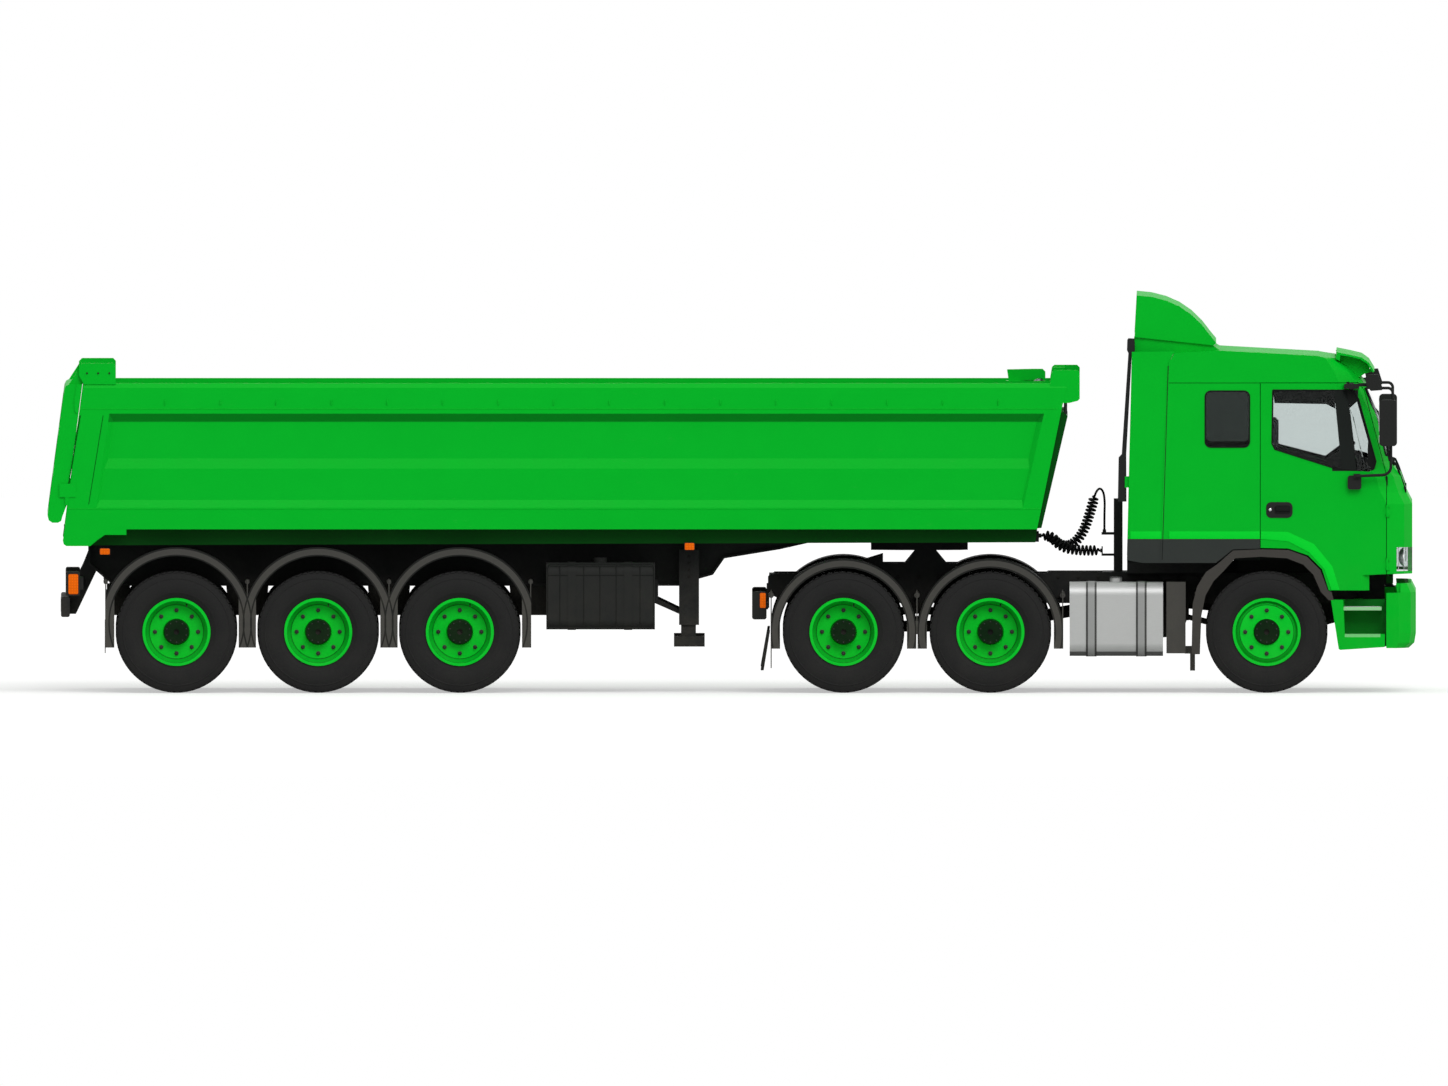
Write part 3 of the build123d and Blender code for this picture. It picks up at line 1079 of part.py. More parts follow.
def hoist_pieces():
    """The telescopic hoist: its barrel and nested stages, drawn along its own line."""
    (px, pz), (ex, ez) = HOIST_FOOT, HOIST_EYE
    length = hypot(ex - px, ez - pz)
    lean = degrees(atan2(ex - px, ez - pz))
    place = Pos(px, 0, pz) * Rot(0, lean, 0)
    top = length - 95
    radius = HOIST_BARREL_RADIUS
    barrel = Pos(0, 0, (22 + top) / 2) * Cylinder(radius, top - 22)
    barrel -= Pos(0, 0, (30 + top) / 2 + 5) * Cylinder(radius - HOIST_STAGE_WALL, top - 20)
    foot = Rot(90, 0, 0) * Cylinder(42, 230)
    foot += Pos(0, 0, 14) * Box(60, 160, 28)
    foot -= Rot(90, 0, 0) * Cylinder(22 + RUNNING_GAP, 260)
    barrel = barrel + foot
    barrel -= Rot(90, 0, 0) * Cylinder(22 + RUNNING_GAP, 260)
    pieces = {"hoist_barrel": place * barrel}
    for k in range(1, HOIST_STAGES + 1):
        outside = radius - HOIST_STAGE_STEP * k
        low, high = 55.0, top + 9.0 * k
        stage = Pos(0, 0, (low + high) / 2) * Cylinder(outside, high - low)
        guide = outside + HOIST_STAGE_STEP - HOIST_STAGE_WALL - SEAT_GAP
        stage += Pos(0, 0, low + HOIST_GUIDE / 2) * Cylinder(guide, HOIST_GUIDE)
        if k < HOIST_STAGES:
            stage -= Pos(0, 0, (low + high) / 2) * Cylinder(outside - HOIST_STAGE_WALL, high - low + 10)
        else:
            stage += Pos(0, 0, (high + length) / 2) * Cylinder(26, length - high)
            stage += Pos(0, 0, length) * Rot(90, 0, 0) * Cylinder(HOIST_EYE_RADIUS, 90)
        pieces[f"hoist_stage_{k}"] = place * stage
    return pieces


# Hoses
HOSE_RADIUS = 50.0
LEAD_RADIUS = 10.0
HOSE_Y = 75.0
HOSE_UPPER_LEAD = [
    (3356, HOSE_Y, 1450), (3356, HOSE_Y, 1580), (3360, HOSE_Y, 1700), (3348, HOSE_Y, 1790),
    (3314, HOSE_Y, 1824),
    (3282, HOSE_Y, 1790), (3272, HOSE_Y, 1760),
]
HOSE_UPPER = [
    (3272, HOSE_Y, 1759), (3242, HOSE_Y, 1650), (3208, HOSE_Y, 1540), (3172, HOSE_Y, 1440),
    (3112, HOSE_Y, 1348),
    (3028, HOSE_Y, 1296), (2940, HOSE_Y, 1318), (2875, HOSE_Y, 1395), (2790, HOSE_Y, 1395),
]
HOSE_LOWER = [
    (3318, -HOSE_Y, 1262), (3215, -HOSE_Y, 1262), (3110, -HOSE_Y, 1266), (3015, -HOSE_Y, 1280),
    (2935, -HOSE_Y, 1322), (2875, -HOSE_Y, 1395), (2790, -HOSE_Y, 1395),
]


def hose(points, radius):
    """A hose as one fat tube along its route of straight runs joined by arcs."""
    radii = []
    for before, here, after in zip(points, points[1:], points[2:]):
        run_in = Vector(*here) - Vector(*before)
        run_out = Vector(*after) - Vector(*here)
        turn = radians(run_in.get_angle(run_out))
        radii.append(0.45 * min(run_in.length, run_out.length) / tan(turn / 2))
    path = FilletPolyline(*points, radius=radii)
    plane = Plane(origin=path @ 0, z_dir=path % 0)
    tube = sweep(plane * Circle(radius), path=path)
    radii_text = " ".join(f"{r:.0f}" for r in radii)
    section_volume = pi * radius**2 * path.length
    volume_ratio = tube.volume / section_volume
    print(f"hose length {path.length:.0f}, bend radii {radii_text}, volume ratio {volume_ratio:.4f}")
    return tube, radii


def build():
    """Build and write every node."""
    nodes = {}
    outer, shell, front, glass, doors = cab_pieces()
    for side, name in ((1, "left"), (-1, "right")):
        rim, tyre = steer_wheel(side)
        nodes[f"wheel_steer_{name}"] = (rim, GREEN)
        nodes[f"tyre_steer_{name}"] = (tyre, RUBBER)
        for axle, x in DRIVE_AXLES_X.items():
            rim, tyre = twin_wheel(x, side)
            nodes[f"wheel_drive_{axle}_{name}"] = (rim, GREEN)
            nodes[f"tyre_drive_{axle}_{name}"] = (tyre, RUBBER)
        for axle, x in TRAILER_AXLES_X.items():
            rim, tyre = trailer_wheel(x, side)
            nodes[f"wheel_trailer_{axle}_{name}"] = (rim, GREEN)
            nodes[f"tyre_trailer_{axle}_{name}"] = (tyre, RUBBER)
        nodes[f"knuckle_{name}"] = (knuckle(side), GREY)
        nodes[f"mirror_{name}"] = (mirror_set(side, outer), DARK)
    nodes["tractor_frame"] = (tractor_frame(), DARK)
    nodes["fifth_wheel"] = (fifth_wheel(), DARK)
    nodes["driveline"] = (driveline(), GREY)
    nodes["tractor_fenders"] = (tractor_fenders() + chassis_boxes(), GREY)
    nodes["fuel_tank"] = (fuel_tank(), GREY)
    nodes["front_bumper"] = (bumper_and_steps(), GREEN)
    nodes["tractor_lamps"] = (tractor_lamps(), RED)
    nodes["cab_shell"] = (shell, GREEN)
    nodes["cab_front"] = (front, GREEN)
    nodes["cab_glass"] = (glass, CLEAR)
    nodes["cab_fairings"] = (cab_fairings(outer), GREEN)
    nodes["cab_interior"] = (cab_interior(), DARK)
    for name, (door, pane) in doors.items():
        nodes[f"door_{name}"] = (door, GREEN)
        nodes[f"door_glass_{name}"] = (pane, CLEAR)
    nodes["trailer_frame"] = (trailer_frame(), DARK)
    nodes["trailer_axles"] = (trailer_axles(), DARK)
    nodes["trailer_fenders"] = (trailer_fenders(), GREY)
    nodes["landing_legs"] = (landing_legs(), DARK)
    nodes["tool_box"] = (tool_box(), GREY)
    nodes["trailer_lamps"] = (trailer_lamps(), RED)
    nodes["tipper_body"] = (tipper_body(), GREEN)
    nodes["tailgate"] = (tailgate(), GREEN)
    for name, solid in hoist_pieces().items():
        nodes[name] = (solid, GREY)
    lead, lead_radii = hose(HOSE_UPPER_LEAD, LEAD_RADIUS)
    upper, upper_radii = hose(HOSE_UPPER, HOSE_RADIUS)
    lower, lower_radii = hose(HOSE_LOWER, HOSE_RADIUS)
    nodes["hose_upper"] = (lead + upper, DARK)
    nodes["hose_lower"] = (lower, DARK)
    for name, (shape, colour) in nodes.items():
        export(name, shape, colour)


build()
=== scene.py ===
"""Looks of the articulated tipper lorry: paint, rubber, glass, tread, fittings and air hoses.

Metres. +X points forward, +Y to the lorry's left, +Z up, with the origin on the ground below its middle.
"""
import logging
from dataclasses import dataclass, field, replace
from enum import Enum
from math import cos, radians, sin, tau
from typing import Callable, Iterable, Sequence

import bmesh
import bpy
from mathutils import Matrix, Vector


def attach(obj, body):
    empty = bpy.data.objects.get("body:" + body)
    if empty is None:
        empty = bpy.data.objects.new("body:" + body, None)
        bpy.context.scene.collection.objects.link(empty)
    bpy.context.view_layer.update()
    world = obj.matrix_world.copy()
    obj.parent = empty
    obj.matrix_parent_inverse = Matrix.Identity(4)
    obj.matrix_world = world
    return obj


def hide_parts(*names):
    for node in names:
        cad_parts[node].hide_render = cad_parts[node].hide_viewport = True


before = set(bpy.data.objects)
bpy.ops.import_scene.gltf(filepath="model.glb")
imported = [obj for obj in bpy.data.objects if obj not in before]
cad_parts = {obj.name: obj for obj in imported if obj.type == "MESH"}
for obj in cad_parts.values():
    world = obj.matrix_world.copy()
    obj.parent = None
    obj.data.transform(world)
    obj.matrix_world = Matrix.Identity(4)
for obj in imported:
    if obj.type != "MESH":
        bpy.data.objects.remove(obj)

log = logging.getLogger("lorry")
Point = tuple[float, float, float]
Flat = tuple[float, float]
Span = tuple[float, float]
Colour = tuple[float, float, float]
Outline = tuple[Flat, ...]

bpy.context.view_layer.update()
HALF_WIDTH = 1.24
TYRE_RADIUS = 0.55
FRONT_AXLE = 4.817
DRIVE_AXLES = {"middle": 2.330, "rear": 1.008}
TRAILER_AXLES = {"front": -2.445, "middle": -3.720, "rear": -4.995}
SIDES = {"left": 1, "right": -1}
SHARP_ANGLE = radians(32)


class Way(Enum):
    """The axis that a turned or swept form lies along."""

    X = 0
    Y = 1
    Z = 2


# Shader building

def linear(colour: Colour) -> tuple[float, float, float, float]:
    """Turns a display colour from 0 to 255 into Blender's linear one.

    Args:
        colour: Red, green and blue from 0 to 255.

    Returns:
        Linear red, green, blue and a full alpha.
    """
    shares = [part / 255 for part in colour]
    red, green, blue = [s / 12.92 if s <= 0.04045 else ((s + 0.055) / 1.055) ** 2.4 for s in shares]
    return red, green, blue, 1.0


@dataclass
class Wiring:
    """A node tree with short calls to add and join nodes."""

    tree: bpy.types.NodeTree

    def add(self, kind: str, settings: dict | None = None, **values: object) -> bpy.types.Node:
        """Adds a node.

        Args:
            kind: Blender's node type.
            settings: Properties of the node itself.
            values: Input values or sockets, by name with underscores for spaces, or by in_NUMBER.

        Returns:
            The new node.
        """
        node = self.tree.nodes.new(kind)
        for key, value in (settings or {}).items():
            setattr(node, key, value)
        for key, value in values.items():
            if key.startswith("in_"):
                socket = node.inputs[int(key[3:])]
            else:
                socket = node.inputs[key.replace("_", " ")]
            self.feed(socket, value)
        return node

    def feed(self, socket: bpy.types.NodeSocket, value: object) -> None:
        """Links a socket or sets its value.

        Args:
            socket: The input to feed.
            value: A socket, a node whose first output is meant, or a plain value.
        """
        if isinstance(value, bpy.types.NodeSocket):
            self.tree.links.new(value, socket)
        elif isinstance(value, bpy.types.Node):
            self.tree.links.new(value.outputs[0], socket)
        else:
            socket.default_value = value

    def maths(self, operation: str, *values: object, clamp: bool = False) -> bpy.types.NodeSocket:
        """Adds a Math node and returns its output."""
        inputs = {f"in_{i}": value for i, value in enumerate(values)}
        return self.add("ShaderNodeMath", {"operation": operation, "use_clamp": clamp}, **inputs).outputs[0]

    def ramp(self, value: object, low: object, high: object) -> bpy.types.NodeSocket:
        """Maps low..high to 0..1, clamped, and returns the output."""
        return self.add("ShaderNodeMapRange", {"clamp": True}, in_0=value, in_1=low, in_2=high).outputs[0]

    def blend(self, share: object, first: object, second: object) -> bpy.types.NodeSocket:
        """Mixes two colours by share and returns the result."""
        node = self.add("ShaderNodeMix", {"data_type": "RGBA"}, in_0=share, in_6=first, in_7=second)
        return node.outputs[2]

    def group(self, tree: bpy.types.NodeTree, **values: object) -> bpy.types.NodeSocket:
        """Adds a shared shader group and returns its first output."""
        return self.add("ShaderNodeGroup", {"node_tree": tree}, **values).outputs[0]

    def place(self) -> bpy.types.NodeSocket:
        """The Object coordinates."""
        return self.add("ShaderNodeTexCoord").outputs["Object"]


def shader_group(name: str, inputs: dict[str, tuple[str, object]], outputs: dict[str, str],
                 build: Callable[[Wiring, bpy.types.Node], dict[str, object]]) -> bpy.types.NodeTree:
    """Builds a shared shader group once.

    Args:
        name: The group's name.
        inputs: Socket type and first value of each input.
        outputs: Socket type of each output.
        build: Wires the inside and returns each output's source.

    Returns:
        The group's tree.
    """
    found = bpy.data.node_groups.get(name)
    if found:
        return found
    tree = bpy.data.node_groups.new(name, "ShaderNodeTree")
    for label, (kind, value) in inputs.items():
        socket = tree.interface.new_socket(name=label, in_out="INPUT", socket_type=kind)
        socket.default_value = value
    for label, kind in outputs.items():
        tree.interface.new_socket(name=label, in_out="OUTPUT", socket_type=kind)
    wiring = Wiring(tree)
    entry = wiring.add("NodeGroupInput")
    sources = build(wiring, entry)
    leave = wiring.add("NodeGroupOutput")
    for label, source in sources.items():
        wiring.feed(leave.inputs[label], source)
    return tree


FLOAT = "NodeSocketFloat"
VECTOR = "NodeSocketVector"


def grain_group() -> bpy.types.NodeTree:
    """Fine grain: a noise value from 0 to 1, on Object coordinates.

    Returns:
        The group's tree.
    """

    def build(w: Wiring, entry: bpy.types.Node) -> dict[str, object]:
        """Stretches a noise along the chosen axes.

        Args:
            w: The group's wiring.
            entry: The node with the group's inputs.

        Returns:
            The source of each output.
        """
        scaled = w.add("ShaderNodeMapping", None, Vector=w.place(), Scale=entry.outputs["Stretch"])
        noise = w.add("ShaderNodeTexNoise", None, Vector=scaled, Scale=entry.outputs["Scale"], Detail=4.0,
                      Roughness=0.6)
        return {"Value": w.ramp(noise.outputs[0], 0.25, 0.75)}

    return shader_group("Fine grain", {"Scale": (FLOAT, 40.0), "Stretch": (VECTOR, (1.0, 1.0, 1.0))},
                        {"Value": FLOAT}, build)


def film_group() -> bpy.types.NodeTree:
    """Road film: a dust mask that thickens towards the ground in patches.

    Returns:
        The group's tree.
    """

    def build(w: Wiring, entry: bpy.types.Node) -> dict[str, object]:
        """Fades the film with height and breaks it up with a noise.

        Args:
            w: The group's wiring.
            entry: The node with the group's inputs.

        Returns:
            The source of each output.
        """
        place = w.place()
        height = w.add("ShaderNodeSeparateXYZ", None, in_0=place).outputs[2]
        drop = w.ramp(height, entry.outputs["Top"], 0.15)
        noise = w.add("ShaderNodeTexNoise", None, Vector=place, Scale=entry.outputs["Patch"], Detail=5.0,
                      Roughness=0.65)
        patches = w.ramp(noise.outputs[0], 0.35, 0.7)
        patchy = w.maths("MULTIPLY", drop, patches)
        return {"Mask": w.maths("MULTIPLY", patchy, entry.outputs["Amount"], clamp=True)}

    inputs = {"Top": (FLOAT, 1.2), "Patch": (FLOAT, 5.0), "Amount": (FLOAT, 0.3)}
    return shader_group("Road film", inputs, {"Mask": FLOAT}, build)


def scuff_group() -> bpy.types.NodeTree:
    """Scuffs: short streaks where a stretched noise passes a limit.

    Returns:
        The group's tree.
    """

    def build(w: Wiring, entry: bpy.types.Node) -> dict[str, object]:
        """Cuts streaks out of a fine noise, only where a broad one is high.

        Args:
            w: The group's wiring.
            entry: The node with the group's inputs.

        Returns:
            The source of each output.
        """
        place = w.place()
        streak = w.add("ShaderNodeMapping", None, Vector=place, Scale=(0.35, 1.0, 1.6))
        fine = w.add("ShaderNodeTexNoise", None, Vector=streak, Scale=entry.outputs["Scale"], Detail=8.0,
                     Roughness=0.75)
        broad = w.add("ShaderNodeTexNoise", None, Vector=place, Scale=1.7, Detail=2.0)
        limit = w.maths("SUBTRACT", fine.outputs[0], entry.outputs["Limit"])
        streaks = w.maths("MULTIPLY", limit, 14.0, clamp=True)
        return {"Mask": w.maths("MULTIPLY", streaks, w.ramp(broad.outputs[0], 0.4, 0.65), clamp=True)}

    return shader_group("Scuffs", {"Scale": (FLOAT, 22.0), "Limit": (FLOAT, 0.62)}, {"Mask": FLOAT}, build)


def box_zone_group() -> bpy.types.NodeTree:
    """Box zone: 1 inside a box given by its low and high corner.

    Returns:
        The group's tree.
    """

    def build(w: Wiring, entry: bpy.types.Node) -> dict[str, object]:
        """Compares each coordinate with both corners.

        Args:
            w: The group's wiring.
            entry: The node with the group's inputs.

        Returns:
            The source of each output.
        """
        spot = w.add("ShaderNodeSeparateXYZ", None, in_0=w.place())
        low = w.add("ShaderNodeSeparateXYZ", None, in_0=entry.outputs["Low"])
        high = w.add("ShaderNodeSeparateXYZ", None, in_0=entry.outputs["High"])
        mask: object = 1.0
        for axis in range(3):
            above = w.maths("GREATER_THAN", spot.outputs[axis], low.outputs[axis])
            below = w.maths("LESS_THAN", spot.outputs[axis], high.outputs[axis])
            mask = w.maths("MULTIPLY", mask, w.maths("MULTIPLY", above, below))
        return {"Mask": mask}

    inputs = {"Low": (VECTOR, (0.0, 0.0, 0.0)), "High": (VECTOR, (1.0, 1.0, 1.0))}
    return shader_group("Box zone", inputs, {"Mask": FLOAT}, build)


def ring_zone_group() -> bpy.types.NodeTree:
    """Ring zone: 1 between two radii about a line along Y.

    Returns:
        The group's tree.
    """

    def build(w: Wiring, entry: bpy.types.Node) -> dict[str, object]:
        """Measures the distance from the line.

        Args:
            w: The group's wiring.
            entry: The node with the group's inputs.

        Returns:
            The source of each output.
        """
        away = w.add("ShaderNodeVectorMath", {"operation": "SUBTRACT"}, in_0=w.place(),
                     in_1=entry.outputs["Centre"])
        flat = w.add("ShaderNodeVectorMath", {"operation": "MULTIPLY"}, in_0=away, in_1=(1.0, 0.0, 1.0))
        reach = w.add("ShaderNodeVectorMath", {"operation": "LENGTH"}, in_0=flat).outputs["Value"]
        outside = w.maths("GREATER_THAN", reach, entry.outputs["Inner"])
        inside = w.maths("LESS_THAN", reach, entry.outputs["Outer"])
        return {"Mask": w.maths("MULTIPLY", outside, inside)}

    inputs = {"Centre": (VECTOR, (0.0, 0.0, 0.0)), "Inner": (FLOAT, 0.0), "Outer": (FLOAT, 0.1)}
    return shader_group("Ring zone", inputs, {"Mask": FLOAT}, build)


@dataclass(frozen=True)
class BoxZone:
    """A box of the lorry that takes another colour."""

    low: Point
    high: Point
    colour: Colour

    def mask(self, w: Wiring) -> bpy.types.NodeSocket:
        """The zone's mask in a material."""
        return w.group(box_zone_group(), Low=self.low, High=self.high)


@dataclass(frozen=True)
class RingZone:
    """A ring about a wheel's axle that takes another colour."""

    centre: Flat
    inner: float
    outer: float
    colour: Colour

    def mask(self, w: Wiring) -> bpy.types.NodeSocket:
        """The zone's mask in a material."""
        x, z = self.centre
        return w.group(ring_zone_group(), Centre=(x, 0.0, z), Inner=self.inner, Outer=self.outer)


def zoned(w: Wiring, base: Colour, zones: Iterable[BoxZone | RingZone]) -> object:
    """Lays the zones' colours over a base colour, one after the other.

    Args:
        w: The material's wiring.
        base: The colour outside every zone.
        zones: The zones in order.

    Returns:
        The source of the coloured result.
    """
    colour: object = linear(base)
    for zone in zones:
        colour = w.blend(zone.mask(w), colour, linear(zone.colour))
    return colour


@dataclass(frozen=True)
class Surface:
    """A named material that is built when a piece first needs it."""

    name: str
    colour: Colour

    def wire(self, w: Wiring, shader: bpy.types.Node) -> None:
        """Wires the material, which each kind of surface does in its own way."""
        raise NotImplementedError

    def preset(self, shader: bpy.types.Node, **values: object) -> None:
        """Sets constants on the shader's own sockets, by name with underscores for spaces."""
        for key, value in values.items():
            shader.inputs[key.replace("_", " ")].default_value = value

    def material(self) -> bpy.types.Material:
        """Finds the material or builds it.

        Returns:
            The material.
        """
        found = bpy.data.materials.get(self.name)
        if found:
            return found
        material = bpy.data.materials.new(self.name)
        material.use_nodes = True
        self.wire(Wiring(material.node_tree), material.node_tree.nodes["Principled BSDF"])
        return material


@dataclass(frozen=True)
class Finish(Surface):
    """A surface with grain, scuffs and road film over its colour."""

    roughness: float = 0.4
    metallic: float = 0.0
    coat: float = 0.0
    coat_roughness: float = 0.08
    grain: float = 60.0
    grain_roughness: float = 0.12
    stretch: Point = (1.0, 1.0, 1.0)
    variation: float = 0.08
    depth: float = 0.0002
    dust: float = 0.15
    dust_top: float = 1.3
    dust_colour: Colour = (120, 112, 98)
    dust_roughness: float = 0.4
    scuffs: float = 0.15
    sheen: float = 0.0
    specular: float = 0.05
    metal_specular: float = 0.5
    zones: tuple[BoxZone | RingZone, ...] = ()

    def wire(self, w: Wiring, shader: bpy.types.Node) -> None:
        """Wires grain, scuffs and road film over the zoned colour.

        Args:
            w: The material's wiring.
            shader: Its shader.
        """
        specular = self.metal_specular if self.metallic else self.specular
        self.preset(shader, Metallic=self.metallic, Coat_Weight=self.coat, Coat_Roughness=self.coat_roughness,
                    Sheen_Weight=self.sheen, Specular_IOR_Level=specular)
        grain = w.group(grain_group(), Scale=self.grain, Stretch=self.stretch)
        film = w.group(film_group(), Top=self.dust_top, Amount=self.dust)
        colour = zoned(w, self.colour, self.zones)
        darker = w.add("ShaderNodeHueSaturation", None, Color=colour, Value=1.0 - self.variation)
        lighter = w.add("ShaderNodeHueSaturation", None, Color=colour, Value=1.0 + 0.5 * self.variation)
        shade = w.blend(grain, darker, lighter)
        worn = w.add("ShaderNodeHueSaturation", None, Color=shade, Saturation=0.8, Value=1.12)
        shade = w.blend(w.maths("MULTIPLY", w.group(scuff_group()), self.scuffs), shade, worn)
        w.feed(shader.inputs["Base Color"], w.blend(film, shade, linear(self.dust_colour)))
        smoothest = self.roughness - 0.5 * self.grain_roughness
        rough = w.maths("MULTIPLY_ADD", grain, self.grain_roughness, smoothest)
        dusty = w.maths("MULTIPLY_ADD", film, self.dust_roughness, rough)
        w.feed(shader.inputs["Roughness"], w.maths("MINIMUM", dusty, 1.0))
        bump = w.add("ShaderNodeBump", None, Strength=0.6, Distance=self.depth, Height=grain)
        w.feed(shader.inputs["Normal"], bump)


@dataclass(frozen=True)
class Glass(Surface):
    """Window glass, tinted by zone."""

    roughness: float = 0.02
    bending: float = 1.2
    dust: float = 0.05
    dust_top: float = 2.6
    dust_colour: Colour = (190, 188, 180)
    zones: tuple[BoxZone, ...] = ()

    def wire(self, w: Wiring, shader: bpy.types.Node) -> None:
        """Wires a thin film over the tint.

        Args:
            w: The material's wiring.
            shader: Its shader.
        """
        self.preset(shader, Transmission_Weight=1.0, IOR=self.bending)
        film = w.group(film_group(), Top=self.dust_top, Amount=self.dust, Patch=9.0)
        tint = zoned(w, self.colour, self.zones)
        w.feed(shader.inputs["Base Color"], w.blend(film, tint, linear(self.dust_colour)))
        grain = w.group(grain_group(), Scale=3.0)
        w.feed(shader.inputs["Roughness"], w.maths("MULTIPLY_ADD", grain, 0.02, self.roughness))


@dataclass(frozen=True)
class Lens(Surface):
    """A moulded lamp lens with fine flutes."""

    flutes: float = 13.0
    flute_depth: float = 0.002
    glow: float = 0.15
    roughness: float = 0.25
    specular: float = 0.08

    def wire(self, w: Wiring, shader: bpy.types.Node) -> None:
        """Wires flutes in two directions.

        Args:
            w: The material's wiring.
            shader: Its shader.
        """
        self.preset(shader, Roughness=self.roughness, Specular_IOR_Level=self.specular,
                    Emission_Color=linear(self.colour), Emission_Strength=self.glow)
        place = w.place()
        waves = []
        for way in "ZX":
            wave = w.add("ShaderNodeTexWave", {"bands_direction": way}, Vector=place, Scale=self.flutes)
            waves.append(wave.outputs["Fac"])
        height = w.maths("MULTIPLY", *waves)
        dark = tuple(0.88 * part for part in self.colour)
        w.feed(shader.inputs["Base Color"], w.blend(height, linear(dark), linear(self.colour)))
        bump = w.add("ShaderNodeBump", None, Strength=0.5, Distance=self.flute_depth, Height=height)
        w.feed(shader.inputs["Normal"], bump)


GREEN: Colour = (1, 184, 40)
PAINTED_SHADE_GREEN: Colour = (2, 136, 30)
DEEP_GREEN: Colour = (2, 68, 13)
TRIM_DARK: Colour = (52, 56, 54)
CHASSIS: Colour = (40, 41, 41)
INSIDE: Colour = (70, 73, 72)
GLASS_TINT: Colour = (220, 226, 225)
SLEEPER_TINT: Colour = (108, 115, 112)
FENDER_EDGE_SHADE: Colour = (34, 35, 34)
STRAP: Colour = (150, 151, 150)
STRAP_EDGE: Colour = (58, 58, 57)
TANK_BOTTOM_SHADE: Colour = (92, 93, 92)

BODY_PAINT = Finish("lorry_green_paint", GREEN, roughness=0.42, variation=0.03, grain=3.0, depth=0.0001,
                    dust=0.04, dust_top=1.6, scuffs=0.08)
# A lighter copy of the body green: a painted highlight on the cab's mouldings.
HIGHLIGHT_GREEN_PAINT = Finish("lorry_bright_green_paint", (4, 214, 48), variation=0.03, grain=3.0, depth=0.0001,
                      dust=0.04)
DEEP_PAINT = Finish("lorry_deep_green_paint", DEEP_GREEN, roughness=0.5, variation=0.1, grain=6.0, dust=0.06)
CHASSIS_PAINT = Finish("chassis_black_paint", CHASSIS, roughness=0.55, variation=0.25, grain=14.0, dust=0.22)
CAST_PAINT = Finish("cast_iron_paint", (38, 38, 37), roughness=0.7, variation=0.3, grain=45.0, depth=0.0008,
                    dust=0.3)
# Painted shade: a dark ring along the inner and the outer edge of each mudguard's lip, round each axle.
FENDER_EDGE_SHADES = tuple(
    RingZone((x, height), radius, radius + 0.014, FENDER_EDGE_SHADE)
    for axles, height, reach in ((DRIVE_AXLES, 0.550, 0.657), (TRAILER_AXLES, 0.632, 0.680))
    for x in axles.values()
    for radius in (reach - 0.080, reach - 0.014)
)
FENDER_PLASTIC = Finish("mudguard_plastic", (72, 71, 68), roughness=0.6, variation=0.12, grain=320.0,
                        depth=0.0003, zones=FENDER_EDGE_SHADES)
ARCH_PLASTIC = Finish("arch_lip_plastic", (68, 66, 63), roughness=0.6, variation=0.12, grain=300.0, dust=0.1)
DARK_PLASTIC = Finish("moulded_dark_plastic", (40, 41, 40), roughness=0.58, variation=0.1, grain=420.0,
                      depth=0.0003, dust=0.08)
# The first box is painted shade along the tank's bottom; the others are the straps and their dark edges.
TANK_ZONES = (
    BoxZone((3.0, -1.25, 0.30), (3.9, -0.4, 0.374), TANK_BOTTOM_SHADE),
    *(BoxZone((x - half, -1.25, 0.31), (x + half, -0.40, 1.01), colour)
      for x in (3.238, 3.688)
      for half, colour in ((0.048, STRAP_EDGE), (0.030, STRAP))),
)
TANK_METAL = Finish("tank_aluminium", (186, 187, 186), roughness=0.42, metallic=0.35, grain=30.0,
                    stretch=(1.0, 1.0, 14.0), variation=0.06, dust=0.06, zones=TANK_ZONES)
BRIGHT_METAL = Finish("bright_steel", (200, 202, 202), roughness=0.3, metallic=0.8, variation=0.06)
HOIST_STEEL = Finish("hoist_chromed_steel", (170, 172, 176), roughness=0.25, metallic=0.9,
                     stretch=(1.0, 1.0, 0.1), variation=0.05, dust_top=2.0)
WHEEL_NUT = Finish("wheel_nut_steel", (10, 26, 13), roughness=0.5, metallic=0.2, variation=0.2, grain=90.0)
TYRE_RUBBER = Finish("tread_rubber_compound", (41, 41, 41), roughness=0.85, variation=0.16, grain=90.0,
                     depth=0.0005, dust=0.07, dust_top=1.4, dust_colour=(84, 80, 73), scuffs=0.12)
HOSE_RUBBER = Finish("curly_hose_rubber", (26, 26, 27), roughness=0.45, variation=0.1, grain=200.0, dust=0.05)
SEAL_RUBBER = Finish("seal_rubber", (28, 30, 29), roughness=0.7, variation=0.1, grain=300.0)
CABIN_TRIM = Finish("cabin_trim", (44, 47, 46), roughness=0.8, variation=0.1, grain=500.0, depth=0.0004,
                    dust=0.0)
MIRROR_FACE = Finish("mirror_silver", (225, 228, 228), roughness=0.04, metallic=1.0, variation=0.01,
                     grain=2.0, depth=0.0, dust=0.02, scuffs=0.0)
SEAT_CLOTH = Finish("seat_cloth", (74, 78, 82), roughness=0.95, variation=0.3, grain=900.0, depth=0.0012,
                    sheen=0.5, dust=0.0)
MATTRESS_CLOTH = Finish("mattress_cloth", (122, 126, 130), roughness=0.95, variation=0.25, grain=700.0,
                        depth=0.001, sheen=0.4, dust=0.0)
SEAM_CORD = Finish("seam_cord", (46, 49, 52), roughness=0.9, variation=0.2, grain=800.0, sheen=0.3, dust=0.0)
PLATE_WHITE = Finish("blank_plate_white", (206, 208, 204), variation=0.04, dust=0.2)
AMBER_LENS = Lens("amber_lens", (240, 104, 4))
RED_LENS = Lens("red_lens", (190, 16, 14))
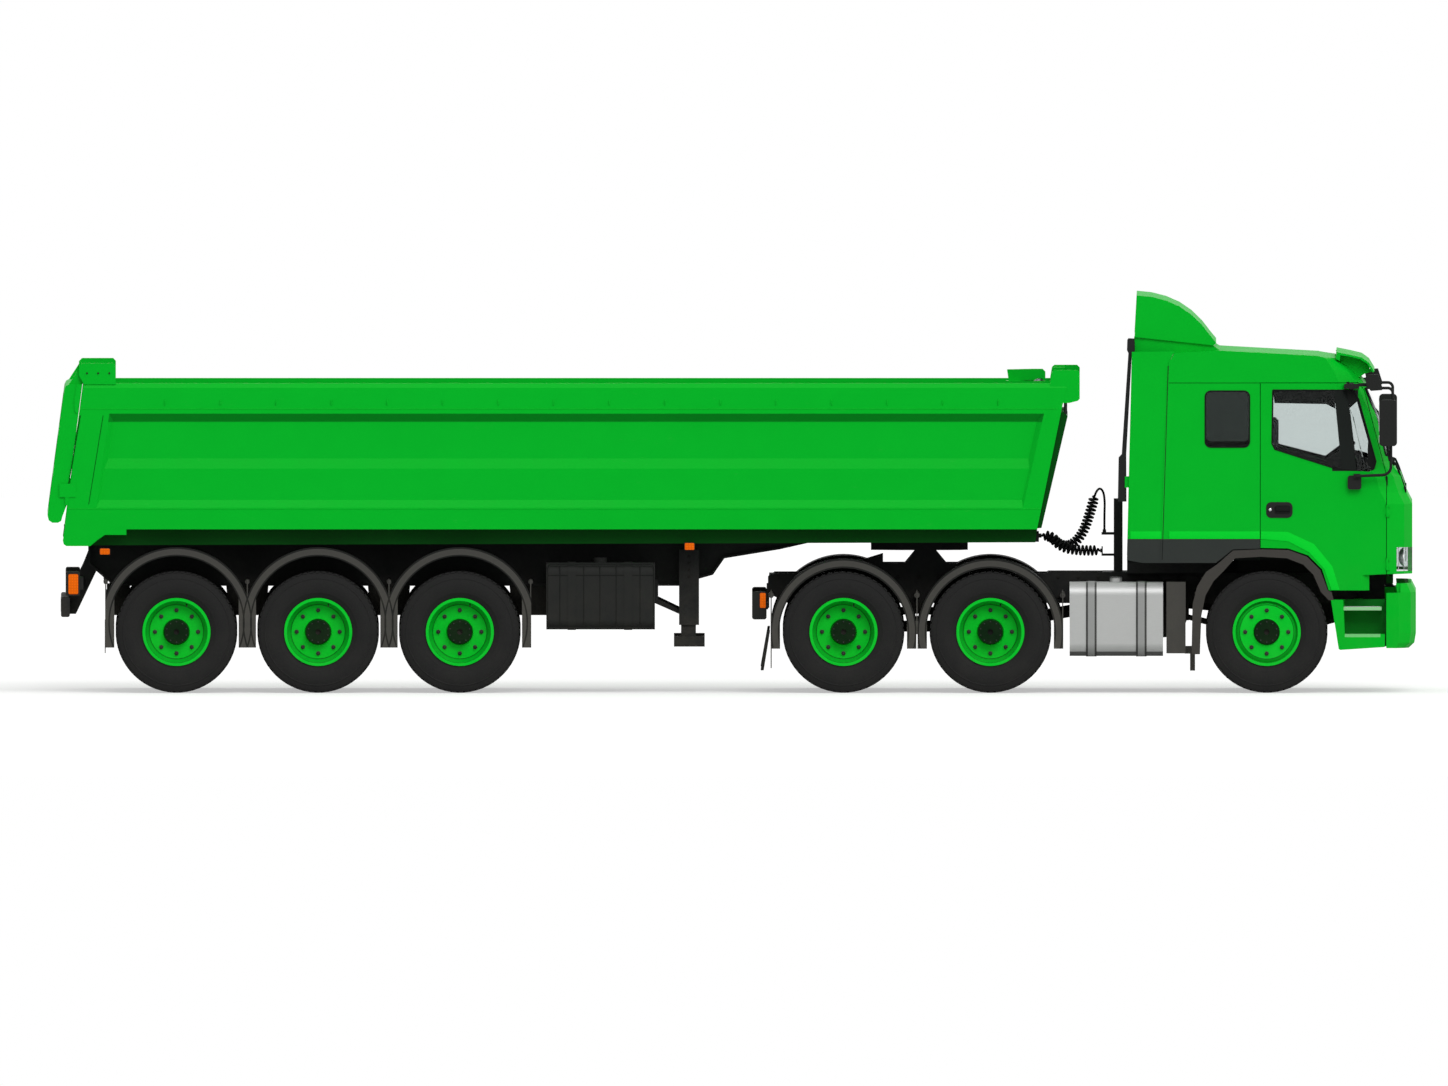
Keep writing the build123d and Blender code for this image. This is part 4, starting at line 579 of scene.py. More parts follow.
WHITE_LENS = Lens("white_lens", (236, 238, 236), glow=0.25)
REAR_LENSES = {"red": RED_LENS, "amber": AMBER_LENS, "white": WHITE_LENS}
CLEAR_GLASS = Glass("cab_window_glass", GLASS_TINT)
SLEEPER_ZONE = BoxZone((4.2, -1.3, 2.15), (4.75, 1.3, 2.78), SLEEPER_TINT)
CAB_GLASS = Glass("cab_glass_tinted", GLASS_TINT, zones=(SLEEPER_ZONE,))


# Geometry Nodes that repeat a fitting

def repeat_tree(name: str, around: bool) -> bpy.types.NodeTree:
    """Builds the tree that repeats a fitting round an axle or along a line.

    Args:
        name: The tree's name.
        around: True to repeat round a line along Y, False to repeat along a step.

    Returns:
        The geometry tree.
    """
    found = bpy.data.node_groups.get(name)
    if found:
        return found
    tree = bpy.data.node_groups.new(name, "GeometryNodeTree")
    face = tree.interface
    face.new_socket(name="Fitting", in_out="INPUT", socket_type="NodeSocketGeometry")
    face.new_socket(name="Count", in_out="INPUT", socket_type="NodeSocketInt")
    face.new_socket(name="Centre" if around else "Step", in_out="INPUT", socket_type=VECTOR)
    face.new_socket(name="Finish", in_out="INPUT", socket_type="NodeSocketMaterial")
    face.new_socket(name="Fittings", in_out="OUTPUT", socket_type="NodeSocketGeometry")
    w = Wiring(tree)
    entry = w.add("NodeGroupInput")
    fitting, count, vector, finish = [entry.outputs[i] for i in range(4)]
    index = w.add("GeometryNodeInputIndex")
    if around:
        back = w.add("ShaderNodeVectorMath", {"operation": "SCALE"}, in_0=vector, Scale=-1.0)
        shape = w.add("GeometryNodeTransform", None, Geometry=fitting, Translation=back).outputs[0]
        spots = w.add("GeometryNodePoints", None, Count=count, Position=vector)
        angle = w.maths("MULTIPLY", index, w.maths("DIVIDE", tau, count))
        turn = w.add("ShaderNodeCombineXYZ", None, Y=angle)
        placed = w.add("GeometryNodeInstanceOnPoints", None, Points=spots, Instance=shape, Rotation=turn)
    else:
        offset = w.add("ShaderNodeVectorMath", {"operation": "SCALE"}, in_0=vector, Scale=index)
        spots = w.add("GeometryNodePoints", None, Count=count, Position=offset)
        placed = w.add("GeometryNodeInstanceOnPoints", None, Points=spots, Instance=fitting)
    real = w.add("GeometryNodeRealizeInstances", None, Geometry=placed)
    dressed = w.add("GeometryNodeSetMaterial", None, Geometry=real, Material=finish)
    leave = w.add("NodeGroupOutput")
    w.feed(leave.inputs[0], dressed)
    return tree


# Mesh building

@dataclass
class Workpiece:
    """Solids gathered into one mesh, in metres and in the lorry's frame."""

    bm: bmesh.types.BMesh = field(default_factory=bmesh.new)

    def _soften(self, faces: Iterable[bmesh.types.BMFace], edge: float) -> None:
        """Bevels the edges of some new faces.

        Args:
            faces: The new faces.
            edge: Width of the bevel, or 0 for none.
        """
        if edge > 0:
            edges = list(dict.fromkeys(e for f in faces for e in f.edges))
            bmesh.ops.bevel(self.bm, geom=edges, offset=edge, segments=2, profile=0.7, affect="EDGES",
                            clamp_overlap=True)

    def slab(self, x: Span, y: Span, z: Span, edge: float = 0.003) -> "Workpiece":
        """Adds a box with softened edges.

        Args:
            x: Low and high along the lorry.
            y: Low and high across it.
            z: Low and high up.
            edge: Radius of its edges.

        Returns:
            The workpiece itself.
        """
        return self.plate([(x[0], z[0]), (x[1], z[0]), (x[1], z[1]), (x[0], z[1])], y[0], y[1], edge)

    def plate(self, outline: Sequence[Flat], y_low: float, y_high: float, edge: float = 0.002) -> "Workpiece":
        """Adds a side outline of (x, z) points carried across the lorry.

        Args:
            outline: The corners in order.
            y_low: One face's y.
            y_high: The other face's y.
            edge: Radius of its edges.

        Returns:
            The workpiece itself.
        """
        near = [self.bm.verts.new((x, y_low, z)) for x, z in outline]
        far = [self.bm.verts.new((x, y_high, z)) for x, z in outline]
        return self.prism(near, far, edge)

    def cross(self, outline: Sequence[Flat], x_low: float, x_high: float, edge: float = 0.002) -> "Workpiece":
        """Adds a cross-section of (y, z) points carried along the lorry.

        Args:
            outline: The corners in order.
            x_low: One face's x.
            x_high: The other face's x.
            edge: Radius of its edges.

        Returns:
            The workpiece itself.
        """
        near = [self.bm.verts.new((x_low, y, z)) for y, z in outline]
        far = [self.bm.verts.new((x_high, y, z)) for y, z in outline]
        return self.prism(near, far, edge)

    def prism(self, near: list[bmesh.types.BMVert], far: list[bmesh.types.BMVert],
              edge: float = 0.0) -> "Workpiece":
        """Closes a solid between two outlines of as many corners.

        Args:
            near: One outline's corners in order.
            far: The other's.
            edge: Radius of its edges.

        Returns:
            The workpiece itself.
        """
        faces = [self.bm.faces.new(near), self.bm.faces.new(list(reversed(far)))]
        for i, vert in enumerate(near):
            j = (i + 1) % len(near)
            faces.append(self.bm.faces.new((near[j], vert, far[i], far[j])))
        self._soften(faces, edge)
        return self

    def turned(self, profile: Sequence[Flat], centre: Point, way: Way, sides: int) -> "Workpiece":
        """Adds a ring or solid turned about a line through centre.

        Args:
            profile: (radius, distance along the line) corners of a closed section.
            centre: A point on the line.
            way: The line's axis.
            sides: Steps round it.

        Returns:
            The workpiece itself.
        """
        order = {Way.X: (2, 0, 1), Way.Y: (0, 2, 1), Way.Z: (0, 1, 2)}[way]
        loops: list[list[bmesh.types.BMVert]] = []
        for i in range(sides):
            angle = tau * i / sides
            loop = []
            for radius, along in profile:
                local = (radius * cos(angle), radius * sin(angle), along)
                loop.append(self.bm.verts.new([centre[axis] + local[order[axis]] for axis in range(3)]))
            loops.append(loop)
        for here, there in zip(loops, loops[1:] + loops[:1]):
            for k in range(len(profile)):
                m = (k + 1) % len(profile)
                if max(profile[k][0], profile[m][0]) > 0.0:
                    self.bm.faces.new([here[k], here[m], there[m], there[k]])
        return self

    def tube(self, path: Sequence[Point], radius: float, sides: int = 10) -> "Workpiece":
        """Adds a round bar or pipe that follows a path.

        Args:
            path: The points of its centre line.
            radius: Its radius.
            sides: Steps round it.

        Returns:
            The workpiece itself.
        """
        points = [Vector(p) for p in path]
        last = len(points) - 1
        ahead = [(points[min(i + 1, last)] - points[max(i - 1, 0)]).normalized() for i in range(last + 1)]
        side = ahead[0].orthogonal().normalized()
        rings = []
        for point, forward in zip(points, ahead):
            side = (side - forward * side.dot(forward)).normalized()
            up = forward.cross(side)
            angles = [tau * i / sides for i in range(sides)]
            rings.append([self.bm.verts.new(point + radius * (side * cos(a) + up * sin(a))) for a in angles])
        for here, there in zip(rings, rings[1:]):
            for i in range(sides):
                j = (i + 1) % sides
                self.bm.faces.new((here[i], here[j], there[j], there[i]))
        self.bm.faces.new(list(reversed(rings[0])))
        self.bm.faces.new(rings[-1])
        return self

    def mirrored(self) -> "Workpiece":
        """Adds the mirror image on the lorry's other side.

        Returns:
            The workpiece itself.
        """
        copy = bmesh.ops.duplicate(self.bm, geom=self.bm.verts[:] + self.bm.edges[:] + self.bm.faces[:])
        for vert in (g for g in copy["geom"] if isinstance(g, bmesh.types.BMVert)):
            vert.co.y = -vert.co.y
        return self

    def piece(self, name: str, finish: Surface, body: str, slot: str) -> bpy.types.Object:
        """Turns the workpiece into a finished object that rides on a body.

        Args:
            name: The piece's name.
            finish: Its finish.
            body: The CAD body that it rides on.
            slot: The record's material slot; not used.

        Returns:
            The object.
        """
        return settle(self.loose(name, finish), body)

    def loose(self, name: str, finish: Surface) -> bpy.types.Object:
        """Turns the workpiece into an object that rides on nothing yet.

        Args:
            name: The object's name.
            finish: Its finish.

        Returns:
            The object.
        """
        bmesh.ops.remove_doubles(self.bm, verts=self.bm.verts[:], dist=1e-6)
        bmesh.ops.recalc_face_normals(self.bm, faces=self.bm.faces[:])
        return meshed(self.bm, name, finish.material())


def meshed(bm: bmesh.types.BMesh, name: str, material: bpy.types.Material) -> bpy.types.Object:
    """Turns a BMesh into a linked object with sharp and smooth edges, and frees it.

    Args:
        bm: The faces.
        name: The object's name.
        material: Its only material.

    Returns:
        The object.
    """
    mesh = bpy.data.meshes.new(name)
    bm.to_mesh(mesh)
    bm.free()
    mesh.materials.append(material)
    mesh.shade_smooth()
    mesh.set_sharp_from_angle(angle=SHARP_ANGLE)
    return linked(name, mesh)


def linked(name: str, data: bpy.types.ID | None) -> bpy.types.Object:
    """Makes an object and links it to the scene.

    Args:
        name: The object's name.
        data: Its mesh, camera or light, or None for an empty.

    Returns:
        The object.
    """
    item = bpy.data.objects.new(name, data)
    bpy.context.scene.collection.objects.link(item)
    return item


def evaluated_mesh(item: bpy.types.Object) -> bpy.types.Mesh:
    """An object's mesh with its modifiers applied."""
    return bpy.data.meshes.new_from_object(item.evaluated_get(bpy.context.evaluated_depsgraph_get()))


def settle(item: bpy.types.Object, body: str) -> bpy.types.Object:
    """Makes an object ride on a body, and reports it.

    Args:
        item: The object.
        body: The CAD body that it rides on.

    Returns:
        The same object.
    """
    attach(item, body)
    log.info("%s rides on %s with %d faces", item.name, body, len(item.data.polygons))
    return item


def repeated(work: Workpiece, name: str, count: int, vector: Point, finish: Surface,
             around: bool = False) -> bpy.types.Object:
    """Repeats a fitting with Geometry Nodes and turns the result into a plain mesh.

    Args:
        work: One fitting.
        name: The whole row's name.
        count: How many there are.
        vector: The step from one to the next, or the axle's place.
        finish: The fittings' finish.
        around: True to repeat round an axle.

    Returns:
        A new object with the whole row.
    """
    item = work.loose(name, finish)
    tree = repeat_tree("Round an axle" if around else "Along a line", around)
    modifier = item.modifiers.new("repeat", "NODES")
    modifier.node_group = tree
    values = {"Count": count, "Centre": vector, "Step": vector, "Finish": finish.material()}
    for socket in tree.interface.items_tree:
        if socket.in_out == "INPUT" and socket.name in values:
            modifier[socket.identifier] = values[socket.name]
    mesh = evaluated_mesh(item)
    item.modifiers.remove(modifier)
    bpy.data.objects.remove(item)
    mesh.name = name
    mesh.materials.clear()
    mesh.materials.append(finish.material())
    return linked(name, mesh)


def joined(items: Sequence[bpy.types.Object], name: str) -> bpy.types.Object:
    """Joins objects with one finish into one mesh at the origin.

    Args:
        items: The objects.
        name: The new object's name.

    Returns:
        The joined object.
    """
    bm = bmesh.new()
    for item in items:
        bm.from_mesh(item.data)
    material = items[0].data.materials[0]
    for item in items:
        bpy.data.objects.remove(item)
    return meshed(bm, name, material)


# Studio

@dataclass
class Studio:
    """White floor, plain soft light, and the side-on camera of the photograph."""

    image_width: int = 1448
    metres_per_pixel: float = 0.009
    centre_x: float = -0.0675
    centre_z: float = 1.328
    elevation: float = 1.1
    distance: float = 40.0
    sees: float = 200.0
    key_light: tuple[float, float, float, float] = (1.22, 34.0, 50.0, 12.0)
    front_fill: tuple[float, float, float, float] = (0.5, 60.0, 62.0, 62.0)
    sky_low: float = 0.34
    sky_high: float = 1.02
    sky_strength: float = 0.72
    floor_reach: float = 90.0
    floor_colour: Point = (0.62, 0.62, 0.615)
    floor_own_light: float = 0.47

    def camera(self) -> None:
        """Places the camera to the lorry's right, looking along +Y."""
        data = bpy.data.cameras.new("side_camera")
        data.type = "ORTHO"
        data.ortho_scale = self.image_width * self.metres_per_pixel
        data.clip_end = self.sees
        camera = linked("side_camera", data)
        tilt = radians(self.elevation)
        back, up = self.distance * cos(tilt), self.distance * sin(tilt)
        camera.location = (self.centre_x, -back, self.centre_z + up)
        camera.rotation_euler = (radians(90) - tilt, 0.0, 0.0)
        bpy.context.scene.camera = camera

    def world(self) -> None:
        """Gives even light, and a white surround to the camera, to gloss and to glass."""
        world = bpy.data.worlds.new("white_studio")
        world.use_nodes = True
        bpy.context.scene.world = world
        w = Wiring(world.node_tree)
        world.node_tree.nodes.clear()
        path = w.add("ShaderNodeLightPath")
        seen = w.maths("MAXIMUM", path.outputs["Is Camera Ray"], path.outputs["Is Glossy Ray"])
        seen = w.maths("MAXIMUM", seen, path.outputs["Is Transmission Ray"])
        ways = w.add("ShaderNodeTexCoord").outputs["Generated"]
        height = w.ramp(w.add("ShaderNodeSeparateXYZ", None, in_0=ways).outputs[2], -0.25, 0.9)
        sky = w.blend(height, (*[self.sky_low] * 3, 1.0), (*[self.sky_high] * 3, 1.0))
        lit = w.add("ShaderNodeBackground", None, Color=sky, Strength=self.sky_strength)
        white = w.add("ShaderNodeBackground", None, Color=(1.0, 1.0, 1.0, 1.0), Strength=1.0)
        mix = w.add("ShaderNodeMixShader", None, in_0=seen, in_1=lit, in_2=white)
        w.add("ShaderNodeOutputWorld", None, Surface=mix)

    def lamps(self) -> None:
        """Adds one broad key from above the camera's side and a weak fill from the front."""
        for name, lamp in (("key", self.key_light), ("front_fill", self.front_fill)):
            strength, angle, pitch, yaw = lamp
            data = bpy.data.lights.new(name, "SUN")
            data.energy = strength
            data.angle = radians(angle)
            linked(name, data).rotation_euler = (radians(pitch), 0.0, radians(yaw))

    def floor(self) -> None:
        """Lays the white floor, which keeps the lorry's shadow."""
        material = bpy.data.materials.new("white_floor")
        material.use_nodes = True
        w = Wiring(material.node_tree)
        material.node_tree.nodes.clear()
        path = w.add("ShaderNodeLightPath")
        seen = w.maths("MAXIMUM", path.outputs["Is Camera Ray"], path.outputs["Is Transmission Ray"])
        matt = w.add("ShaderNodeBsdfDiffuse", None, Color=(*self.floor_colour, 1.0))
        own = w.add("ShaderNodeEmission", None, Color=(1.0, 1.0, 1.0, 1.0),
                    Strength=w.maths("MULTIPLY", seen, self.floor_own_light))
        both = w.add("ShaderNodeAddShader", None, in_0=matt, in_1=own)
        w.add("ShaderNodeOutputMaterial", None, Surface=both)
        bm = bmesh.new()
        reach = self.floor_reach
        corners = ((-reach, -reach, 0), (reach, -reach, 0), (reach, reach, 0), (-reach, reach, 0))
        bm.faces.new([bm.verts.new(corner) for corner in corners])
        meshed(bm, "floor", material)

    def build(self) -> None:
        """Sets up everything round the lorry."""
        bpy.context.scene.view_settings.view_transform = "Standard"
        self.camera()
        self.world()
        self.lamps()
        self.floor()


# Wheels

@dataclass
class WheelSet:
    """One wheel body: its tyres with tread, its nuts and its hub."""

    body: str
    tyre_node: str
    wheel_node: str
    x: float
    side: int
    y_outer: float
    width: float
    disc_in: float
    hub_out: float
    twin_step: float = 0.0
    tread_depth: float = 0.013
    lugs: int = 56
    ribs: int = 4
    shoulder: float = 0.036
    groove: float = 0.009
    skew: float = 0.008
    nuts: int = 8
    nut_circle: float = 0.194
    screws: int = 10
    screw_circle: float = 0.092
    valve_circle: float = 0.268
    half_section: Outline = (
        (0.2905, 0.040), (0.309, 0.039), (0.322, 0.030), (0.352, 0.013), (0.356, 0.010), (0.361, 0.010),
        (0.366, 0.008), (0.400, 0.002), (0.430, 0.0005), (0.458, 0.003), (0.474, 0.007), (0.478, 0.0045),
        (0.484, 0.0045), (0.488, 0.009), (0.512, 0.014), (0.535, 0.024),
    )
    nut_section: Outline = (
        (0.0, -0.002), (0.0215, -0.002), (0.0215, 0.003), (0.0150, 0.004), (0.0150, 0.020), (0.0125, 0.022),
        (0.0075, 0.022), (0.0075, 0.030), (0.0, 0.030),
    )
    screw_section: Outline = (
        (0.0, -0.003), (0.0075, -0.003), (0.0075, 0.004), (0.006, 0.0055), (0.0, 0.0055),
    )

    @property
    def axle(self) -> Point:
        """The axle's place."""
        return self.x, 0.0, TYRE_RADIUS

    def carcass(self, y_face: float) -> Workpiece:
        """One tyre below its tread, with its bead, side wall rings and shoulders.

        Args:
            y_face: The tyre's outer side face, away from the lorry's middle.

        Returns:
            The workpiece with the turned carcass.
        """
        base = TYRE_RADIUS - self.tread_depth
        crown = ((base, self.shoulder), (base, self.width - self.shoulder))
        far_half = [(r, self.width - d) for r, d in reversed(self.half_section)]
        profile = [(r, self.side * (y_face - d)) for r, d in (*self.half_section, *crown, *far_half)]
        return Workpiece().turned(profile, self.axle, Way.Y, 96)

    def tread(self, y_face: float, name: str) -> bpy.types.Object:
        """The tread blocks of one tyre, repeated round the axle.

        Args:
            y_face: The tyre's outer side face.
            name: The new object's name.

        Returns:
            The object with all the blocks.
        """
        low = 2 * TYRE_RADIUS - self.tread_depth - 0.004
        high = 2 * TYRE_RADIUS - 0.0006 - 0.0022
        pitch = tau * TYRE_RADIUS / self.lugs
        rib = (self.width - 0.030) / self.ribs
        one = Workpiece()
        for i in range(self.ribs):
            y0 = y_face - 0.015 - i * rib
            y1 = y0 - rib + self.groove
            outer_rib = i in (0, self.ribs - 1)
            half = 0.5 * pitch - (0.010 if outer_rib else 0.004)
            skew = self.skew * (1 if i % 2 else -1)
            falls = (0.004 if i == 0 else 0.0, 0.004 if i == self.ribs - 1 else 0.0)
            rings = []
            for y, shift, fall in zip((y0, y1), (skew, -skew), falls):
                outline = ((shift - half, low), (shift + half, low), (shift + half - 0.003, high - fall),
                           (shift - half + 0.003, high - fall))
                rings.append([one.bm.verts.new((self.x + dx, self.side * y, z)) for dx, z in outline])
            one.prism(*rings)
        return repeated(one, name, self.lugs, self.axle, TYRE_RUBBER, True)

    def tyres(self) -> None:
        """Replaces the plain tyre with one that has its tread."""
        faces = [self.y_outer] + ([self.y_outer - self.twin_step] if self.twin_step else [])
        parts = []
        for i, y_face in enumerate(faces):
            parts.append(self.carcass(y_face).loose(f"carcass_{i}", TYRE_RUBBER))
            parts.append(self.tread(y_face, f"tread_{i}"))
        tyre = joined(parts, f"{self.tyre_node}_treaded")
        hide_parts(self.tyre_node)
        settle(tyre, self.body)

    def ring_of(self, label: str, section: Outline, depth: float, circle: float, count: int) -> None:
        """Adds a ring of hexagon fittings on the wheel's outer face.

        Args:
            label: What the name adds to the wheel's.
            section: The fitting's profile.
            depth: How far in from the tyre's face it sits.
            circle: Its distance from the axle.
            count: How many there are.
        """
        seat = (self.x, self.side * (self.y_outer - depth), TYRE_RADIUS + circle)
        one = Workpiece().turned([(r, self.side * d) for r, d in section], seat, Way.Y, 6)
        ring = repeated(one, f"{self.wheel_node}_{label}", count, self.axle, WHEEL_NUT, True)
        settle(ring, self.body)

    def valve(self) -> None:
        """Adds the air valve in the rim."""
        y, z = self.y_outer - 0.062, TYRE_RADIUS + self.valve_circle * cos(0.35)
        x = self.x + self.valve_circle * sin(0.35)
        bends = ((-0.03, 0.0), (-0.005, 0.016), (0.02, 0.0192))
        stem = Workpiece().tube([(x, self.side * (y + out), z - drop) for out, drop in bends], 0.006, 8)
        stem.piece(f"{self.wheel_node}_valve", WHEEL_NUT, self.body, "tank_metal")

    def paint(self) -> Finish:
        """The wheel's bright paint, with a darker hub and painted shade on the steps of the rim.

        Returns:
            The finish, which the wheels of an axle share.
        """
        # The first ring is the hub's own darker paint; the other three are painted shade on the rim's steps.
        rings = ((0.0, 0.118, (8, 34, 12)), (0.2405, 0.2465, (2, 92, 22)), (0.2465, 0.2760, (3, 178, 40)),
                 (0.2760, 0.2800, (2, 120, 28)))
        zones = tuple(RingZone((self.x, TYRE_RADIUS), inner, outer, colour) for inner, outer, colour in rings)
        axle = self.wheel_node.split("_", 1)[1].rsplit("_", 1)[0]
        return Finish(f"wheel_green_{axle}", (4, 204, 46), variation=0.06, grain=5.0, dust=0.06, dust_top=1.0,
                      zones=zones)

    def build(self) -> None:
        """Makes every piece of this wheel and paints its rim."""
        self.tyres()
        self.ring_of("nuts", self.nut_section, self.disc_in, self.nut_circle, self.nuts)
        self.ring_of("hub_screws", self.screw_section, self.hub_out, self.screw_circle, self.screws)
        self.valve()
        dress(self.wheel_node, self.paint())


def dress(node: str, finish: Surface) -> None:
    """Gives a CAD node its finish and reports it.

    Args:
        node: The node's name.
        finish: Its finish.
    """
    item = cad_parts[node]
    item.data.materials.clear()
    item.data.materials.append(finish.material())
    log.info("%s dressed in %s", node, finish.name)


def wheel_sets() -> list[WheelSet]:
    """Every wheel of the lorry.

    Returns:
        The wheel bodies with their places and widths.
    """
    steered = dict(y_outer=HALF_WIDTH - 0.012, width=0.315, disc_in=0.042, hub_out=0.008)
    driven = dict(y_outer=HALF_WIDTH - 0.002, width=0.315, disc_in=0.150, hub_out=0.052, twin_step=0.345)
    towed = dict(y_outer=HALF_WIDTH - 0.007, width=0.385, disc_in=0.130, hub_out=0.052, lugs=60, ribs=5)
    kinds = [
        ("front", "steer", "", FRONT_AXLE, steered),
        *(("drive", "drive", f"_{axle}", x, driven) for axle, x in DRIVE_AXLES.items()),
        *(("trailer", "trailer", f"_{axle}", x, towed) for axle, x in TRAILER_AXLES.items()),
    ]
    return [
        WheelSet(body=f"{body}_wheel{axle}_{name}", tyre_node=f"tyre_{node}{axle}_{name}",
                 wheel_node=f"wheel_{node}{axle}_{name}", x=x, side=side, **sizes)
        for name, side in SIDES.items()
        for body, node, axle, x, sizes in kinds
    ]


# Air hoses

@dataclass
class AirHose:
    """A curly air hose that follows a route of given points."""

    name: str
    node: str
    route: Sequence[Point]
    lead: Sequence[Point] = ()
    tube_radius: float = 0.010
    coil_radius: float = 0.0395
    pitch: float = 0.030
    run_in: float = 0.045
    steps_per_turn: int = 20

    def line(self, points: Sequence[Point]) -> list[Vector]:
        """Samples the smooth spline through a route.

        Args:
            points: The route's control points.

        Returns:
            Points along its smooth line.
        """
        curve = bpy.data.curves.new("route", "CURVE")
        curve.dimensions = "3D"
        curve.resolution_u = 24
        spline = curve.splines.new("NURBS")
        spline.points.add(len(points) - 1)
        for place, point in zip(spline.points, points):
            place.co = (*point, 1.0)
        spline.order_u = 3
        spline.use_endpoint_u = True
        holder = bpy.data.objects.new("route", curve)
        mesh = bpy.data.meshes.new_from_object(holder)
        line = [v.co.copy() for v in mesh.vertices]
        bpy.data.objects.remove(holder)
        bpy.data.meshes.remove(mesh)
        bpy.data.curves.remove(curve)
        return line

    def coil(self, line: Sequence[Vector]) -> list[Vector]:
        """Winds a helix round a line, easing in and out at its ends.

        Args:
            line: The coil's axis.

        Returns:
            The points of the helix.
        """
        runs = [(b - a).length for a, b in zip(line, line[1:])]
        whole = sum(runs)
        turns = round((whole - 2 * self.run_in) / self.pitch)
        count = turns * self.steps_per_turn
        side = Vector((0.0, 1.0, 0.0))
        points = []
        for i in range(count + 1):
            share = i / count
            away = share * whole
            k, left = 0, away
            while k < len(runs) - 1 and left > runs[k]:
                left -= runs[k]
                k += 1
            spot = line[k].lerp(line[k + 1], min(1.0, left / runs[k]))
            forward = (line[min(k + 2, len(line) - 1)] - line[max(k - 1, 0)]).normalized()
            across = (side - forward * side.dot(forward)).normalized()
            up = forward.cross(across)
            ease = min(1.0, min(away, whole - away) / self.run_in)
            reach = self.coil_radius * ease * ease * (3 - 2 * ease)
            angle = tau * turns * share
            points.append(spot + reach * (up * cos(angle) + across * sin(angle)))
        return points

    def build(self) -> None:
        points = self.coil(self.line(self.route))
        if self.lead:
            points = self.line(self.lead)[:-1] + points
        hose = Workpiece().tube([tuple(p) for p in points], self.tube_radius, 8)
        item = hose.loose(self.name, HOSE_RUBBER)
        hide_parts(self.node)
        settle(item, "tractor")


def air_hoses() -> list[AirHose]:
    """The two curly hoses between the rack behind the cab and the trailer's front.

    Returns:
        The upper and the lower hose.
    """
    y = 0.075
    lead = [(3.356, y, 1.450), (3.356, y, 1.580), (3.360, y, 1.700), (3.348, y, 1.790), (3.314, y, 1.824),
            (3.282, y, 1.790), (3.272, y, 1.760)]
    upper = [(3.272, y, 1.759), (3.242, y, 1.650), (3.208, y, 1.540), (3.172, y, 1.440), (3.112, y, 1.348),
             (3.028, y, 1.296), (2.940, y, 1.318), (2.875, y, 1.395), (2.790, y, 1.395)]
    lower = [(3.318, -y, 1.262), (3.215, -y, 1.262), (3.110, -y, 1.266), (3.015, -y, 1.280),
             (2.935, -y, 1.322), (2.875, -y, 1.395), (2.790, -y, 1.395)]
    return [
        AirHose("air_hose_upper", "hose_upper", upper, lead),
        AirHose("air_hose_lower", "hose_lower", lower),
    ]


# Fittings

def rounded(x: Span, z: Span, radius: float, steps: int = 5) -> list[Flat]:
    """A rectangle with rounded corners.

    Args:
        x: Its low and high x.
        z: Its low and high z.
        radius: The corners' radius.
        steps: Points round each corner.

    Returns:
        The outline's points in order.
    """
    spots = ((x[1] - radius, z[1] - radius), (x[0] + radius, z[1] - radius), (x[0] + radius, z[0] + radius),
             (x[1] - radius, z[0] + radius))
    points = []
    for corner, (cx, cz) in enumerate(spots):
        for step in range(steps):
            angle = radians(90) * (corner + step / (steps - 1))
            points.append((cx + radius * cos(angle), cz + radius * sin(angle)))
    return points


def side_span(sign: int, low: float, high: float) -> Span:
    """A span across the lorry on one side, in rising order."""
    first, second = sorted((sign * low, sign * high))
    return first, second


def bolt_row(name: str, first: Point, step: Point, count: int, body: str,
             radius: float = 0.013, out: int = 1) -> None:
    """Adds a row of hexagon bolts whose heads point across the lorry.

    Args:
        name: The row's name.
        first: The middle of the first head's seat.
        step: From one bolt to the next.
        count: How many there are.
        body: The body they ride on.
        radius: The heads' radius.
        out: 1 for heads that point to the left, -1 to the right.
    """
    head = ((0.0, -0.002), (1.35 * radius, -0.002), (1.35 * radius, 0.002), (radius, 0.0025), (radius, 0.009),
            (0.8 * radius, 0.011), (0.0, 0.011))
    bolt = Workpiece().turned([(r, out * d) for r, d in head], first, Way.Y, 6)
    settle(repeated(bolt, name, count, step, CAST_PAINT), body)


